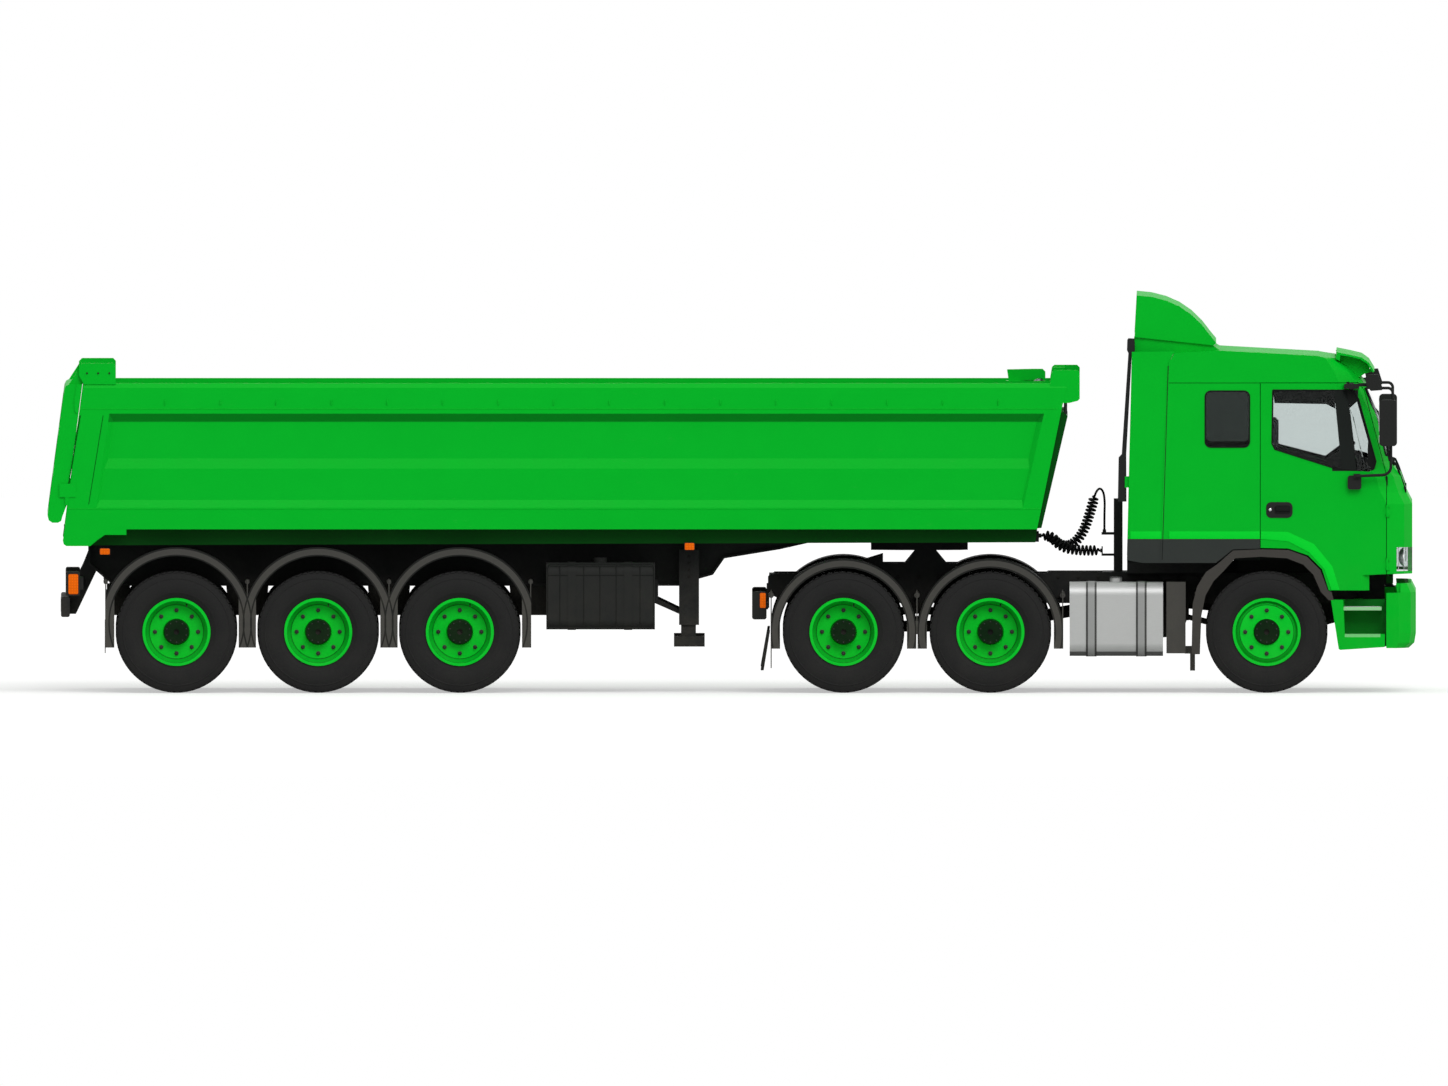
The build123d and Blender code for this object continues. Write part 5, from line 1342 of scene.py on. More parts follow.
@dataclass
class TippingBody:
    """Fittings of the tipping body and its tailgate."""

    side_y: float = 1.250
    gate_y: float = 1.252
    bolt_y: float = 1.2475
    bead: float = 0.004
    bead_runs: tuple[Point, ...] = ((2.560, -5.86, 2.93), (1.660, -5.97, 2.78))
    gate_seam: Outline = ((-5.860, 2.500), (-5.985, 1.770))
    post_seam: Outline = ((-5.655, 2.500), (-5.785, 1.700))
    latch_x: float = -5.940
    latch_pins_z: Span = (1.790, 1.860)
    pin_section: Outline = ((0.0, -0.001), (0.011, -0.001), (0.011, 0.0), (0.009, 0.0), (0.0, 0.0))
    rod: Point = (3.006, 1.205, 2.515)
    rod_height: float = 0.085
    rod_radius: float = 0.016
    hooks: int = 16
    hook_pitch: float = 0.50
    hook_x: float = -5.10
    hook_line: Outline = ((1.249, 2.640), (1.256, 2.630), (1.2565, 2.600), (1.250, 2.592))
    hook_radius: float = 0.0045

    def beads(self) -> None:
        """Weld beads along the rails and round the pressed panel."""
        work = Workpiece()
        for z, x0, x1 in self.bead_runs:
            work.tube([(x0, self.side_y, z), (x1, self.side_y, z)], self.bead, 6)
        work.mirrored().piece("body_weld_beads", BODY_PAINT, "tipper", "body_paint")

    def outlines(self) -> None:
        """Dark seams where the rear plates and the gate meet."""
        work = Workpiece()
        work.tube([(x, self.gate_y, z) for x, z in self.gate_seam], 0.004, 6)
        work.tube([(x, self.side_y, z) for x, z in self.post_seam], 0.003, 6)
        work.mirrored().piece("gate_side_seams", DEEP_PAINT, "tipper", "body_paint")

    def latches(self) -> None:
        """Latch jaws, their pins and a short dark rod at the body's front on each side."""
        work = Workpiece()
        for z in self.latch_pins_z:
            work.turned(self.pin_section, (self.latch_x, 1.2575, z), Way.Y, 16)
        work.slab((self.latch_x - 0.025, self.latch_x + 0.025), (1.2490, 1.2579), (1.800, 1.850))
        work.mirrored().piece("latch_jaws", DEEP_PAINT, "tipper", "body_paint")
        x, y, z = self.rod
        rod = Workpiece().tube([self.rod, (x, y, z + self.rod_height)], self.rod_radius, 12)
        rod.mirrored().piece("front_dark_rods", DARK_PLASTIC, "tipper", "chassis_paint")

    def side_rows(self, name: str, sign: int) -> None:
        """Bolts on the upper rear plate and short hooks for sheet ropes under the top rail.

        Args:
            name: The side's name.
            sign: 1 on the left, -1 on the right.
        """
        first = (-5.800, sign * self.bolt_y, 2.880)
        bolt_row(f"corner_bolts_rear_{name}", first, (0.10, 0.0, 0.0), 3, "tipper", 0.009, sign)
        hook = Workpiece().tube([(self.hook_x, sign * y, z) for y, z in self.hook_line], self.hook_radius, 8)
        row = repeated(hook, f"rope_hooks_{name}", self.hooks, (self.hook_pitch, 0.0, 0.0), BODY_PAINT)
        settle(row, "tipper")

    def build(self) -> None:
        """Makes the body's fittings."""
        self.beads()
        self.outlines()
        self.latches()
        for name, sign in SIDES.items():
            self.side_rows(name, sign)


@dataclass
class CabOutside:
    """Handles, seals, bands, wipers and lamps on the outside of the cab."""

    face_y: float = 1.235
    draw_in_from: float = 5.45
    draw_in: float = 0.010 / 0.35
    band_z: Span = (1.388, 1.456)
    edge: float = 0.0012
    seal: float = 0.007
    screen_seal: float = 0.014
    window: Outline = (
        (4.872, 2.727), (5.540, 2.727), (5.607, 2.709), (5.644, 2.644), (5.800, 2.084), (5.782, 2.020),
        (5.736, 1.992), (5.432, 2.023), (4.889, 2.196), (4.865, 2.246),
    )
    borders: tuple[Outline, ...] = (
        ((4.872, 2.727), (4.887, 2.611), (5.353, 2.602), (5.435, 2.560), (5.424, 2.727)),
        ((4.865, 2.246), (4.887, 2.239), (4.915, 2.202), (5.344, 2.091), (5.478, 2.190), (5.494, 2.012),
         (5.432, 2.023), (4.889, 2.196)),
        ((5.540, 2.725), (5.607, 2.709), (5.644, 2.644), (5.629, 2.624), (5.552, 2.556)),
        ((5.644, 2.644), (5.800, 2.084), (5.730, 2.266), (5.629, 2.624)),
        ((5.625, 2.004), (5.638, 2.143), (5.724, 2.110), (5.730, 2.266), (5.800, 2.084), (5.782, 2.020),
         (5.736, 1.992)),
    )
    arch: Outline = (
        (4.764, 1.456), (5.005, 1.452), (5.243, 1.342), (5.408, 1.140), (5.473, 0.927), (5.400, 0.927),
        (5.338, 1.115), (5.200, 1.268), (5.012, 1.368), (4.764, 1.388),
    )
    visor_end: Outline = (
        (5.436, 3.046), (5.684, 2.996), (5.764, 2.890), (5.700, 2.874), (5.640, 2.832), (5.598, 2.820),
    )
    lock_section: Outline = ((0.0, 0.0), (0.013, 0.0), (0.013, 0.003), (0.010, 0.0045), (0.0, 0.0045))
    bowl_section: Outline = (
        (0.0, 0.0), (0.020, 0.002), (0.045, 0.014), (0.068, 0.040), (0.072, 0.040), (0.072, 0.044),
        (0.066, 0.044), (0.043, 0.018), (0.018, 0.005), (0.0, 0.004),
    )
    bulb_section: Outline = ((0.0, 0.004), (0.010, 0.004), (0.010, 0.030), (0.004, 0.036), (0.0, 0.036))
    pivot_section: Outline = ((0.0, 0.0), (0.022, 0.0), (0.022, 0.018), (0.014, 0.026), (0.0, 0.026))

    def skin_y(self, x: float) -> float:
        """The cab side's half width at x, where the front corners draw in."""
        return self.face_y - self.draw_in * max(0.0, x - self.draw_in_from)

    def handles(self, side: str, sign: int) -> None:
        """A door's handle bowl, pull and lock.

        Args:
            side: The side's name.
            sign: 1 on the left, -1 on the right.
        """
        body = f"door_{side}"
        y = self.face_y
        bowl = Workpiece().plate(rounded((4.811, 5.050), (1.577, 1.720), 0.045),
                                 sign * (y - 0.001), sign * (y + 0.004), 0.0015)
        bowl.piece(f"handle_bowl_{side}", DARK_PLASTIC, body, "moulded_plastic")
        pull = Workpiece().plate(rounded((4.888, 5.030), (1.612, 1.690), 0.022),
                                 sign * (y + 0.0035), sign * (y + 0.006), 0.001)
        pull.slab((4.896, 5.022), side_span(sign, y + 0.005, y + 0.018), (1.640, 1.676), 0.007)
        pull.piece(f"handle_pull_{side}", SEAL_RUBBER, body, "moulded_plastic")
        lock = Workpiece().turned([(r, sign * d) for r, d in self.lock_section],
                                  (4.848, sign * (y + 0.0035), 1.651), Way.Y, 24)
        lock.piece(f"door_lock_{side}", BRIGHT_METAL, body, "tank_metal")

    def frits(self, side: str, sign: int) -> None:
        """The dark borders of a door's two panes.

        Args:
            side: The side's name.
            sign: 1 on the left, -1 on the right.
        """
        work = Workpiece()
        for outline in self.borders:
            y = self.skin_y(max(x for x, _ in outline)) - 0.0005
            work.plate(outline, sign * (y - 0.006), sign * y, 0.0)
        work.piece(f"door_glass_borders_{side}", SEAL_RUBBER, f"door_{side}", "moulded_plastic")

    def seals(self) -> None:
        """Rubber round the side windows, the sleeper windows and the windscreen."""
        for side, sign in SIDES.items():
            loop = [(x, sign * self.skin_y(x), z) for x, z in (*self.window, self.window[0])]
            work = Workpiece().tube(loop, self.seal, 8)
            work.piece(f"door_window_seal_{side}", SEAL_RUBBER, f"door_{side}", "moulded_plastic")
        outline = rounded((4.264, 4.662), (2.214, 2.719), 0.05)
        sleeper = Workpiece().tube([(x, self.face_y, z) for x, z in (*outline, outline[0])], self.seal, 8)
        sleeper.mirrored().piece("sleeper_window_seals", SEAL_RUBBER, "cab", "moulded_plastic")
        half = ((-1.030, 0.026), (-0.985, 0.0), (0.985, 0.0), (1.030, 0.026))
        screen = [(5.9075 - back, y, 2.140) for y, back in half]
        screen += [(5.7340 - back, -y, 2.745) for y, back in half]
        screen_loop = Workpiece().tube([*screen, screen[0]], self.screen_seal, 8)
        screen_loop.piece("windscreen_seal", SEAL_RUBBER, "cab", "moulded_plastic")

    def bands(self) -> None:
        """The moulding above the sill and round each wheel arch, in a lighter green that is a painted
        highlight.
        """
        y = self.face_y
        for side, sign in SIDES.items():
            band = Workpiece().plate(self.arch, sign * (y - 0.001), sign * (y + 0.004), self.edge)
            band.piece(f"arch_moulding_{side}", HIGHLIGHT_GREEN_PAINT, f"door_{side}", "body_paint")
        strip = Workpiece().slab((3.940, 4.754), (y - 0.001, y + 0.004), self.band_z, self.edge)
        strip.mirrored().piece("sill_mouldings", HIGHLIGHT_GREEN_PAINT, "cab", "body_paint")
        wing = Workpiece().slab((3.590, 3.868), (1.229, 1.2345), self.band_z, self.edge)
        wing.mirrored().piece("extender_mouldings", HIGHLIGHT_GREEN_PAINT, "cab", "body_paint")

    def gap_seals(self) -> None:
        """Rubber behind the door gaps and the extender seams."""
        work = Workpiece()
        work.slab((4.740, 4.776), (1.150, 1.184), (1.36, 2.800), 0.0)
        work.slab((4.762, 5.560), (1.150, 1.184), (2.780, 2.802), 0.0)
        work.plate(((5.886, 1.10), (5.906, 1.10), (5.906, 1.95), (5.886, 1.95)), 1.130, 1.180, 0.0)
        work.mirrored().piece("door_gap_seals", SEAL_RUBBER, "cab", "moulded_plastic")
        seams = (
            ("extender_seams", SEAL_RUBBER, "moulded_plastic",
             ((3.928, 2.945), (3.934, 2.945), (3.879, 1.200), (3.873, 1.200))),
            ("roof_seams", DEEP_PAINT, "body_paint",
             ((3.936, 2.790), (4.756, 2.790), (4.756, 2.795), (3.936, 2.795))),
        )
        for name, finish, slot, outline in seams:
            Workpiece().plate(outline, 1.229, 1.2362, 0.0).mirrored().piece(name, finish, "cab", slot)

    def visor_cheeks(self) -> None:
        """The closed ends of the sun visor."""
        cheek = Workpiece().plate(self.visor_end, 1.010, 1.022, 0.001)
        cheek.mirrored().piece("visor_cheeks", BODY_PAINT, "cab", "body_paint")

    def lamps(self) -> None:
        """Reflector bowls and bulbs behind the headlamp lenses."""
        work = Workpiece()
        for y in (0.955, 1.090):
            for section, sides in ((self.bowl_section, 32), (self.bulb_section, 16)):
                work.turned(section, (6.005, y, 1.205), Way.X, sides)
        work.slab((5.998, 6.006), (0.872, 1.160), (1.104, 1.304), 0.002)
        work.mirrored().piece("headlamp_reflectors", BRIGHT_METAL, "cab", "lamp_lens")

    def wipers(self) -> None:
        """Three wipers parked on the windscreen and the hanging arm of the front."""
        work = Workpiece()
        for y in (-0.80, -0.15, 0.50):
            arm = [(5.955, y, 2.062), (5.936, y + 0.05, 2.100), (5.905, y + 0.34, 2.215)]
            blade = [(5.916, y + 0.08, 2.170), (5.902, y + 0.34, 2.214), (5.894, y + 0.60, 2.250)]
            work.tube(arm, 0.008, 8)
            work.tube(blade, 0.007, 8)
            work.turned(self.pivot_section, (5.945, y, 2.058), Way.X, 20)
        work.piece("windscreen_wipers", SEAL_RUBBER, "cab", "moulded_plastic")
        line = ((5.930, 2.085), (5.975, 2.066), (6.000, 2.010), (6.060, 1.840))
        hold = Workpiece().tube([(x, 0.985, z) for x, z in line], 0.010, 8)
        hold.slab((6.035, 6.075), (0.965, 1.005), (1.800, 1.850), 0.006)
        hold.mirrored().piece("front_hand_holds", SEAL_RUBBER, "cab", "moulded_plastic")

    def grille(self) -> None:
        """Mesh of thin bars behind the grille slots."""
        bar = Workpiece().slab((6.062, 6.068), (-0.700, -0.694), (1.175, 1.715), 0.0)
        settle(repeated(bar, "grille_mesh", 57, (0.0, 0.025, 0.0), SEAL_RUBBER), "cab")

    def build(self) -> None:
        """Makes the cab's outside fittings."""
        for side, sign in SIDES.items():
            self.handles(side, sign)
            self.frits(side, sign)
        self.seals()
        self.bands()
        self.gap_seals()
        self.visor_cheeks()
        self.lamps()
        self.wipers()
        self.grille()


@dataclass
class Cushion:
    """A padded form with piping round its crown."""

    name: str
    low: Point
    high: Point
    finish: Finish
    facing: Way
    crown: float
    grow: float = 0.008
    corner: float = 0.018
    voxel: float = 0.014
    cap: float = 0.014
    pressure: float = 4.0
    frames: int = 20
    fill: float = 0.6
    seam_inset: float = 0.030
    seam_corner: float = 0.035
    cord_radius: float = 0.0045
    channel_radius: float = 0.003
    channels: Span = (0.34, 0.66)

    def start(self) -> bpy.types.Object:
        """The unswollen form: a softened box a little over its CAD solid."""
        x, y, z = [(a - self.grow, b + self.grow) for a, b in zip(self.low, self.high)]
        return Workpiece().slab(x, y, z, self.corner).loose(self.name, self.finish)

    def blow(self, pad: bpy.types.Object) -> None:
        """Moves a form's points by cloth pressure, each by no more than the cap.

        Args:
            pad: The evenly meshed form.
        """
        cloth = pad.modifiers.new("pressure", "CLOTH")
        cloth.settings.use_pressure = True
        cloth.settings.uniform_pressure_force = self.pressure
        cloth.settings.effector_weights.gravity = 0.0
        for number in range(1, self.frames + 1):
            bpy.context.scene.frame_set(number)
        held = evaluated_mesh(pad)
        pad.modifiers.remove(cloth)
        bpy.context.scene.frame_set(1)
        for vert, blown in zip(pad.data.vertices, held.vertices):
            move = blown.co - vert.co
            if move.length > self.cap:
                move = move * (self.cap / move.length)
            vert.co = vert.co + move
        bpy.data.meshes.remove(held)

    def swollen(self, item: bpy.types.Object) -> bpy.types.Object:
        """Remeshes the form, swells it and makes it finer.

        Args:
            item: The unswollen form.

        Returns:
            The swollen form as a plain mesh.
        """
        remesh = item.modifiers.new("even", "REMESH")
        remesh.mode = "VOXEL"
        remesh.voxel_size = self.voxel
        mesh = evaluated_mesh(item)
        item.modifiers.remove(remesh)
        bpy.data.objects.remove(item)
        pad = linked(self.name, mesh)
        self.blow(pad)
        smooth = pad.modifiers.new("finer", "SUBSURF")
        smooth.levels = smooth.render_levels = 1
        fine = evaluated_mesh(pad)
        pad.modifiers.remove(smooth)
        pad.data = fine
        fine.materials.clear()
        fine.materials.append(self.finish.material())
        fine.shade_smooth()
        return pad

    def piping(self) -> None:
        """A sewn cord round the cushion's crowned face and two channels across it."""
        flat = [axis for axis in range(3) if axis != self.facing.value]
        first, second = [(self.low[a] + self.seam_inset, self.high[a] - self.seam_inset) for a in flat]

        def path(points: Iterable[Flat]) -> list[Point]:
            """Lays flat points on the cushion's face.

            Args:
                points: Places across the face.

            Returns:
                The same places in space.
            """
            spots = []
            for point in points:
                spot = [self.crown] * 3
                spot[flat[0]], spot[flat[1]] = point
                spots.append(tuple(spot))
            return spots

        outline = rounded(first, second, self.seam_corner)
        work = Workpiece().tube(path((*outline, outline[0])), self.cord_radius, 8)
        for share in self.channels:
            place = second[0] + share * (second[1] - second[0])
            work.tube(path(((first[0], place), (first[1], place))), self.channel_radius, 6)
        work.piece(f"{self.name}_piping", SEAM_CORD, "cab", "trim_inside")

    def build(self) -> None:
        """Makes the cushion and its seams."""
        pad = self.swollen(self.start())
        settle(pad, "cab")
        self.piping()


@dataclass
class CabInside:
    """Seats, bunk and dashboard trim."""

    seat_y: float = 0.600
    seat_half: float = 0.26
    rest_half: float = 0.13
    hood: Outline = ((5.50, 2.105), (5.72, 2.105), (5.72, 2.125), (5.56, 2.165), (5.50, 2.150))
    dial_section: Outline = (
        (0.0, 0.0), (0.055, 0.0), (0.055, -0.006), (0.048, -0.008), (0.046, -0.004), (0.0, -0.004),
    )

    def seats(self) -> None:
        """Covers both seats' cushions, backs and headrests."""
        for side, sign in SIDES.items():
            y = sign * self.seat_y
            low, high = y - self.seat_half, y + self.seat_half
            Cushion(f"seat_cushion_{side}", (4.760, low, 1.610), (5.290, high, 1.750), SEAT_CLOTH, Way.Z,
                    crown=1.770).build()
            Cushion(f"seat_back_{side}", (4.700, low, 1.740), (4.900, high, 2.450), SEAT_CLOTH, Way.X,
                    crown=4.919).build()
            low, high = y - self.rest_half, y + self.rest_half
            Cushion(f"headrest_{side}", (4.690, low, 2.470), (4.775, high, 2.640), SEAT_CLOTH, Way.X,
                    crown=4.790, voxel=0.010, cap=0.010).build()

    def bunk(self) -> None:
        """Covers the bunk's mattress."""
        Cushion("bunk_mattress", (3.945, -1.0, 1.680), (4.560, 1.0, 1.810), MATTRESS_CLOTH, Way.Z,
                crown=1.832, voxel=0.020, cap=0.016).build()

    def dashboard(self) -> None:
        """Gauge hood and blank dials."""
        hood = Workpiece().plate(self.hood, 0.38, 0.82, 0.008)
        hood.piece("gauge_hood", SEAL_RUBBER, "cab", "trim_inside")
        dials = Workpiece()
        for y in (0.50, 0.70):
            dials.turned(self.dial_section, (5.503, y, 2.128), Way.X, 32)
        dials.piece("blank_dials", BRIGHT_METAL, "cab", "trim_inside")

    def build(self) -> None:
        """Makes the cab's inside."""
        self.seats()
        self.bunk()
        self.dashboard()


@dataclass
class MirrorFaces:
    """Silvered faces of the mirrors."""

    face_x: float = 5.827
    thickness: float = 0.004
    reach: Span = (1.310, 1.482)
    heights: tuple[Span, ...] = ((2.345, 2.622), (2.248, 2.330))
    corner: float = 0.020

    def build(self) -> None:
        """Makes a tall face and a wide-angle face on each side."""
        for side, sign in SIDES.items():
            work = Workpiece()
            for span in self.heights:
                outline = rounded(side_span(sign, *self.reach), span, self.corner)
                work.cross(outline, self.face_x, self.face_x + self.thickness, 0.001)
            work.piece(f"mirror_faces_{side}", MIRROR_FACE, f"door_{side}", "window_glass")


@dataclass(frozen=True)
class LampSet:
    """One vehicle's side lens and its three rear lens cells on each side."""

    vehicle: str
    side_x: Span
    side_z: Span
    side_y: Span
    corner: float
    rear_x: Span
    rear_z: Span
    cells: tuple[Span, Span, Span]

    def build(self) -> None:
        """Makes the lenses."""
        marker = Workpiece().plate(rounded(self.side_x, self.side_z, self.corner), *self.side_y)
        marker.mirrored().piece(f"{self.vehicle}_side_lenses", AMBER_LENS, self.vehicle, "lamp_lens")
        for (name, lens), span in zip(REAR_LENSES.items(), self.cells):
            cell = Workpiece().slab(self.rear_x, span, self.rear_z, 0.0015)
            cell.mirrored().piece(f"{self.vehicle}_rear_lens_{name}", lens, self.vehicle, "lamp_lens")


@dataclass
class TractorFittings:
    """Lamps, bolts, plates and steps of the tractor."""

    rail_y: float = 0.430
    rail_bolts: int = 30
    rail_pitch: float = 0.180
    bolt_heights: tuple[tuple[str, float], ...] = (("upper", 1.030), ("lower", 0.850))
    ribs: int = 28
    rib_pitch: float = 0.030
    step_ribs: int = 14
    step_pitch: float = 0.0145
    arch: Outline = (
        (4.141, 0.350), (4.150, 0.800), (4.190, 0.960), (4.270, 1.090), (4.372, 1.160), (4.512, 1.284),
        (4.762, 1.295), (5.012, 1.289), (5.180, 1.228), (5.303, 1.105), (5.366, 0.920), (5.400, 0.915),
        (5.420, 0.836), (5.375, 0.836), (5.300, 0.915), (5.240, 1.068), (5.148, 1.160), (5.000, 1.218),
        (4.762, 1.228), (4.530, 1.218), (4.430, 1.100), (4.335, 1.010), (4.262, 0.880), (4.225, 0.700),
        (4.216, 0.350),
    )
    flap: Outline = ((0.262, 0.205), (0.290, 0.205), (0.347, 0.560), (0.325, 0.560))
    cap: Point = (3.460, -0.900, 1.031)
    cap_section: Outline = ((0.0, 0.0), (0.060, 0.0), (0.060, 0.004), (0.055, 0.007), (0.0, 0.007))
    lamps: LampSet = LampSet("tractor", (0.256, 0.308), (0.765, 0.900), (1.1195, 1.1275), 0.010,
                             (0.1855, 0.190), (0.690, 0.885),
                             ((0.895, 0.965), (0.970, 1.035), (1.040, 1.105)))

    def bolts(self, name: str, sign: int) -> None:
        """Two rows of bolts along one frame rail.

        Args:
            name: The side's name.
            sign: 1 on the left, -1 on the right.
        """
        for row, z in self.bolt_heights:
            bolt_row(f"rail_bolts_{row}_{name}", (0.420, sign * self.rail_y, z), (self.rail_pitch, 0.0, 0.0),
                     self.rail_bolts, "tractor", out=sign)

    def catwalk(self) -> None:
        """A ribbed plate over the rails behind the cab."""
        plate = Workpiece().slab((2.840, 3.400), (-0.425, 0.425), (1.0648, 1.0705), 0.001)
        plate.piece("catwalk_plate", CHASSIS_PAINT, "tractor", "chassis_paint")
        rib = Workpiece().slab((2.850, 3.390), (-0.410, -0.404), (1.0704, 1.0740), 0.001)
        row = repeated(rib, "catwalk_ribs", self.ribs, (0.0, self.rib_pitch, 0.0), CAST_PAINT)
        settle(row, "tractor")

    def deck_plates(self) -> None:
        """Dark splash plates on the rails under the cab's rear."""
        work = Workpiece()
        work.slab((3.560, 4.370), (0.600, 0.612), (1.060, 1.165), 0.001)
        work.slab((3.560, 4.370), (0.400, 0.612), (1.060, 1.067), 0.001)
        work.mirrored().piece("deck_plates", CHASSIS_PAINT, "tractor", "chassis_paint")

    def arch_lips(self) -> None:
        """Dark lips round the steered wheels' arches, on stays from the rails, and the rear mud flaps."""
        lips = Workpiece().plate(self.arch, 1.196, 1.231, 0.004)
        lips.tube([(4.182, 0.425, 0.900), (4.182, 1.215, 0.900)], 0.013, 10)
        lips.mirrored().piece("steer_arch_lips", ARCH_PLASTIC, "tractor", "moulded_plastic")
        flap = Workpiece().plate(self.flap, 0.620, 1.236, 0.004)
        flap.mirrored().piece("rear_mud_flaps", SEAL_RUBBER, "tractor", "moulded_plastic")

    def cap_rim(self) -> None:
        """The tank's filler cap rim."""
        rim = Workpiece().turned(self.cap_section, self.cap, Way.Z, 12)
        rim.piece("filler_cap_rim", DARK_PLASTIC, "tractor", "moulded_plastic")

    def treads(self, name: str, sign: int) -> None:
        """Ribs on one side's step tread.

        Args:
            name: The side's name.
            sign: 1 on the left, -1 on the right.
        """
        rib = Workpiece().slab((5.515, 5.835), side_span(sign, 1.012, 1.017), (0.7748, 0.7785), 0.0008)
        step = (0.0, sign * self.step_pitch, 0.0)
        row = repeated(rib, f"step_ribs_{name}", self.step_ribs, step, BRIGHT_METAL)
        settle(row, "tractor")

    def step_fillers(self) -> None:
        """The dark filling between the steps and the bumper."""
        filler = Workpiece().slab((5.879, 5.894), (1.010, 1.205), (0.420, 0.835), 0.0)
        filler.slab((5.893, 5.955), (0.950, 1.000), (0.985, 1.050), 0.0)
        filler.mirrored().piece("step_fillers", DEEP_PAINT, "tractor", "body_paint")

    def plate(self) -> None:
        """A blank number plate on the bumper."""
        plate = Workpiece().cross(rounded((-0.265, 0.265), (0.560, 0.680), 0.010), 6.1575, 6.1598, 0.0005)
        plate.piece("blank_front_plate", PLATE_WHITE, "tractor", "moulded_plastic")

    def build(self) -> None:
        """Makes the tractor's fittings."""
        self.lamps.build()
        for name, sign in SIDES.items():
            self.bolts(name, sign)
        self.catwalk()
        self.deck_plates()
        self.arch_lips()
        self.cap_rim()
        for name, sign in SIDES.items():
            self.treads(name, sign)
        self.step_fillers()
        self.plate()


@dataclass
class TrailerFittings:
    """Lamps, markers, bolts and box trim of the trailer."""

    beam_y: float = 0.610
    beam_bolts: int = 24
    beam_pitch: float = 0.230
    markers_at: tuple[tuple[Span, Span], ...] = (
        ((-5.684, -5.596), (1.247, 1.300)), ((-0.420, -0.335), (1.289, 1.350)),
    )
    leg_bolts: int = 4
    leg_pitch: float = 0.060
    box_face: float = -1.180
    box_x: Span = (-1.655, -0.701)
    box_ribs_x: tuple[float, ...] = (-1.545, -1.330, -1.184, -1.038, -0.823)
    lamps: LampSet = LampSet("trailer", (-5.968, -5.880), (0.890, 1.070), (1.1695, 1.1775), 0.012,
                             (-5.9935, -5.988), (0.900, 1.070),
                             ((0.895, 0.985), (0.990, 1.070), (1.075, 1.155)))

    def markers(self) -> None:
        """Amber side markers on brackets that reach out from the beams."""
        lenses, brackets = Workpiece(), Workpiece()
        for (x0, x1), (z0, z1) in self.markers_at:
            lenses.plate(rounded((x0, x1), (z0, z1), 0.008), 1.152, 1.172, 0.003)
            mid = 0.5 * (x0 + x1)
            arm = (self.beam_y - 0.002, 1.146)
            brackets.slab((mid - 0.020, mid + 0.020), arm, (z0 + 0.018, z0 + 0.028), 0.001)
            backing = rounded((x0 - 0.006, x1 + 0.006), (z0 - 0.005, z1 + 0.005), 0.010)
            brackets.plate(backing, 1.144, 1.153, 0.001)
        lenses.mirrored().piece("side_marker_lenses", AMBER_LENS, "trailer", "lamp_lens")
        brackets.mirrored().piece("side_marker_brackets", CHASSIS_PAINT, "trailer", "chassis_paint")

    def bolts(self, name: str, sign: int) -> None:
        """Rows of bolts along one beam and one parking leg.

        Args:
            name: The side's name.
            sign: 1 on the left, -1 on the right.
        """
        bolt_row(f"beam_bolts_{name}", (-5.900, sign * self.beam_y, 1.420), (self.beam_pitch, 0.0, 0.0),
                 self.beam_bolts, "trailer", out=sign)
        bolt_row(f"leg_bolts_{name}", (-0.382, sign * 0.760, 1.040), (0.0, 0.0, self.leg_pitch),
                 self.leg_bolts, "trailer", out=sign, radius=0.010)

    def box_trim(self) -> None:
        """A rim and lid lines on the box beside the beams."""
        y = self.box_face
        outline = rounded(self.box_x, (0.585, 1.158), 0.030)
        rim = Workpiece().tube([(x, y + 0.0005, z) for x, z in (*outline, outline[0])], 0.005, 8)
        for x in self.box_ribs_x:
            rim.tube([(x, y, 0.600), (x, y, 1.145)], 0.004, 8)
        rim.tube([(x, y, 1.060) for x in self.box_x], 0.004, 8)
        rim.piece("tool_box_lines", SEAL_RUBBER, "trailer", "moulded_plastic")

    def plate(self) -> None:
        """A blank number plate on the underrun guard."""
        plate = Workpiece().cross(rounded((-0.26, 0.26), (0.715, 0.835), 0.010), -6.0375, -6.0345, 0.0005)
        plate.piece("blank_rear_plate", PLATE_WHITE, "trailer", "moulded_plastic")

    def build(self) -> None:
        """Makes the trailer's fittings."""
        self.markers()
        self.lamps.build()
        for name, sign in SIDES.items():
            self.bolts(name, sign)
        self.box_trim()
        self.plate()


# Finishes of the CAD nodes

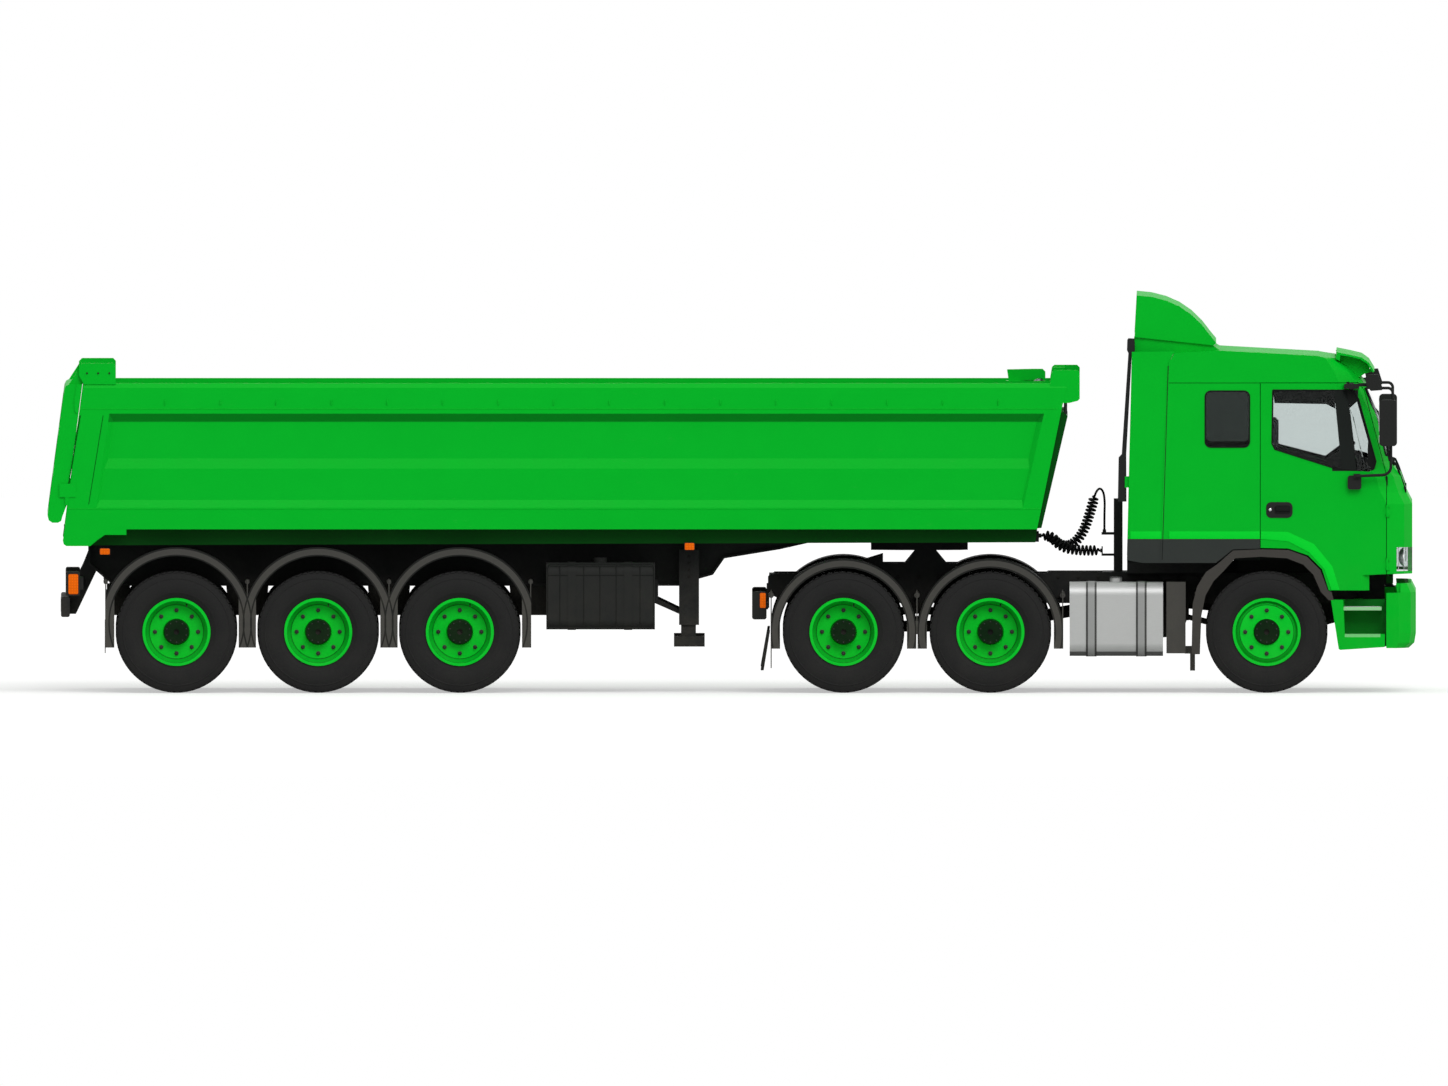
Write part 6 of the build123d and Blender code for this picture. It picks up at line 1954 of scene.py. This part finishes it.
@dataclass(frozen=True)
class PaintZones:
    """Boxes of the lorry's green nodes that take another colour, by the node they are on."""

    inside: tuple[BoxZone, ...] = (
        BoxZone((3.966, -1.191, 1.335), (5.28, 1.191, 2.985), INSIDE),
        BoxZone((5.27, -1.05, 1.335), (5.60, 1.05, 2.855), INSIDE),
    )
    inside_front: tuple[BoxZone, ...] = (
        BoxZone((5.59, -1.00, 1.335), (5.80, 1.00, 2.380), INSIDE),
        BoxZone((5.79, -0.98, 1.335), (5.98, 0.98, 1.900), INSIDE),
    )
    underside: tuple[BoxZone, ...] = (
        BoxZone((3.80, -0.46, 0.70), (6.10, 0.46, 1.345), CHASSIS),
        BoxZone((3.80, -1.30, 1.05), (4.757, 1.30, 1.388), TRIM_DARK),
    )
    door: tuple[BoxZone, ...] = (
        BoxZone((4.70, -1.191, 0.90), (5.60, 1.191, 2.80), INSIDE),
        BoxZone((5.405, -1.30, 1.999), (5.640, 1.30, 2.726), (30, 34, 32)),
    )
    fairing: tuple[BoxZone, ...] = (
        BoxZone((3.50, -1.30, 1.05), (3.92, 1.30, 1.388), TRIM_DARK),
        BoxZone((3.40, -1.195, 1.70), (3.630, -1.070, 3.20), CHASSIS),
    )
    grille: BoxZone = BoxZone((6.078, -0.72, 1.15), (6.114, 0.72, 1.70), TRIM_DARK)
    tipper: tuple[BoxZone, ...] = (
        # The first two boxes are painted shade on the downward slope under the top rail, one on each side.
        BoxZone((-5.612, 1.2035, 2.440), (2.83, 1.2493, 2.517), PAINTED_SHADE_GREEN),
        BoxZone((-5.612, -1.2493, 2.440), (2.83, -1.2035, 2.517), PAINTED_SHADE_GREEN),
        BoxZone((-6.3, -1.215, 1.0), (3.2, 1.215, 1.4745), DEEP_GREEN),
        BoxZone((2.817, -1.217, 1.900), (3.10, 1.217, 2.535), DEEP_GREEN),
        BoxZone((2.690, -1.217, 1.478), (3.10, 1.217, 1.901), DEEP_GREEN),
    )
    steps: tuple[BoxZone, ...] = (
        # The first two boxes are painted shade in the step recesses; the last two are the lighter treads.
        BoxZone((5.520, 1.005, 0.532), (5.889, 1.222, 0.849), (9, 120, 32)),
        BoxZone((5.520, -1.222, 0.532), (5.889, -1.005, 0.849), (9, 120, 32)),
        BoxZone((5.498, -1.222, 0.744), (5.852, 1.222, 0.7765), (150, 210, 152)),
        BoxZone((5.520, -1.232, 0.504), (5.840, 1.232, 0.5315), (120, 206, 126)),
    )


def green(name: str, *zones: BoxZone, scuffs: float = BODY_PAINT.scuffs) -> Finish:
    """The lorry's green paint with zones in other colours."""
    return replace(BODY_PAINT, name=name, scuffs=scuffs, zones=zones)


def dress_frame() -> None:
    """Gives every CAD node that stays in view its finish."""
    zones = PaintZones()
    doors = green("door_paint", *zones.door)
    finishes: dict[str, Surface] = {
        "tractor_frame": CHASSIS_PAINT, "fifth_wheel": CHASSIS_PAINT, "driveline": CAST_PAINT,
        "tractor_fenders": FENDER_PLASTIC, "fuel_tank": TANK_METAL, "tractor_lamps": DARK_PLASTIC,
        "front_bumper": green("bumper_paint", *zones.steps),
        "cab_shell": green("cab_paint", *zones.inside, *zones.inside_front, *zones.underside),
        "cab_front": green("front_paint", *zones.inside_front, zones.grille),
        "cab_fairings": green("fairing_paint", *zones.fairing),
        "cab_glass": CAB_GLASS, "cab_interior": CABIN_TRIM, "trailer_frame": CHASSIS_PAINT,
        "trailer_axles": CAST_PAINT, "trailer_fenders": FENDER_PLASTIC, "landing_legs": CHASSIS_PAINT,
        "tool_box": DARK_PLASTIC, "trailer_lamps": DARK_PLASTIC, "hoist_barrel": CHASSIS_PAINT,
        "tipper_body": green("tipper_paint", *zones.tipper, scuffs=0.25),
        "tailgate": green("tailgate_paint", scuffs=0.2),
    }
    finishes |= {f"hoist_stage_{stage}": HOIST_STEEL for stage in range(1, 6)}
    for side in SIDES:
        finishes[f"door_{side}"] = doors
        finishes[f"door_glass_{side}"] = CLEAR_GLASS
        finishes[f"mirror_{side}"] = DARK_PLASTIC
        finishes[f"knuckle_{side}"] = CAST_PAINT
    for node, finish in finishes.items():
        dress(node, finish)


def main() -> None:
    """Builds the scene's parts in order."""
    logging.basicConfig(level=logging.INFO, format="%(name)s: %(message)s")
    Studio().build()
    for hose in air_hoses():
        hose.build()
    dress_frame()
    for wheel in wheel_sets():
        wheel.build()
    vehicles = (TractorFittings(), TrailerFittings())
    for part in (TippingBody(), CabOutside(), CabInside(), MirrorFaces(), *vehicles):
        part.build()


if __name__ == "__main__":
    main()
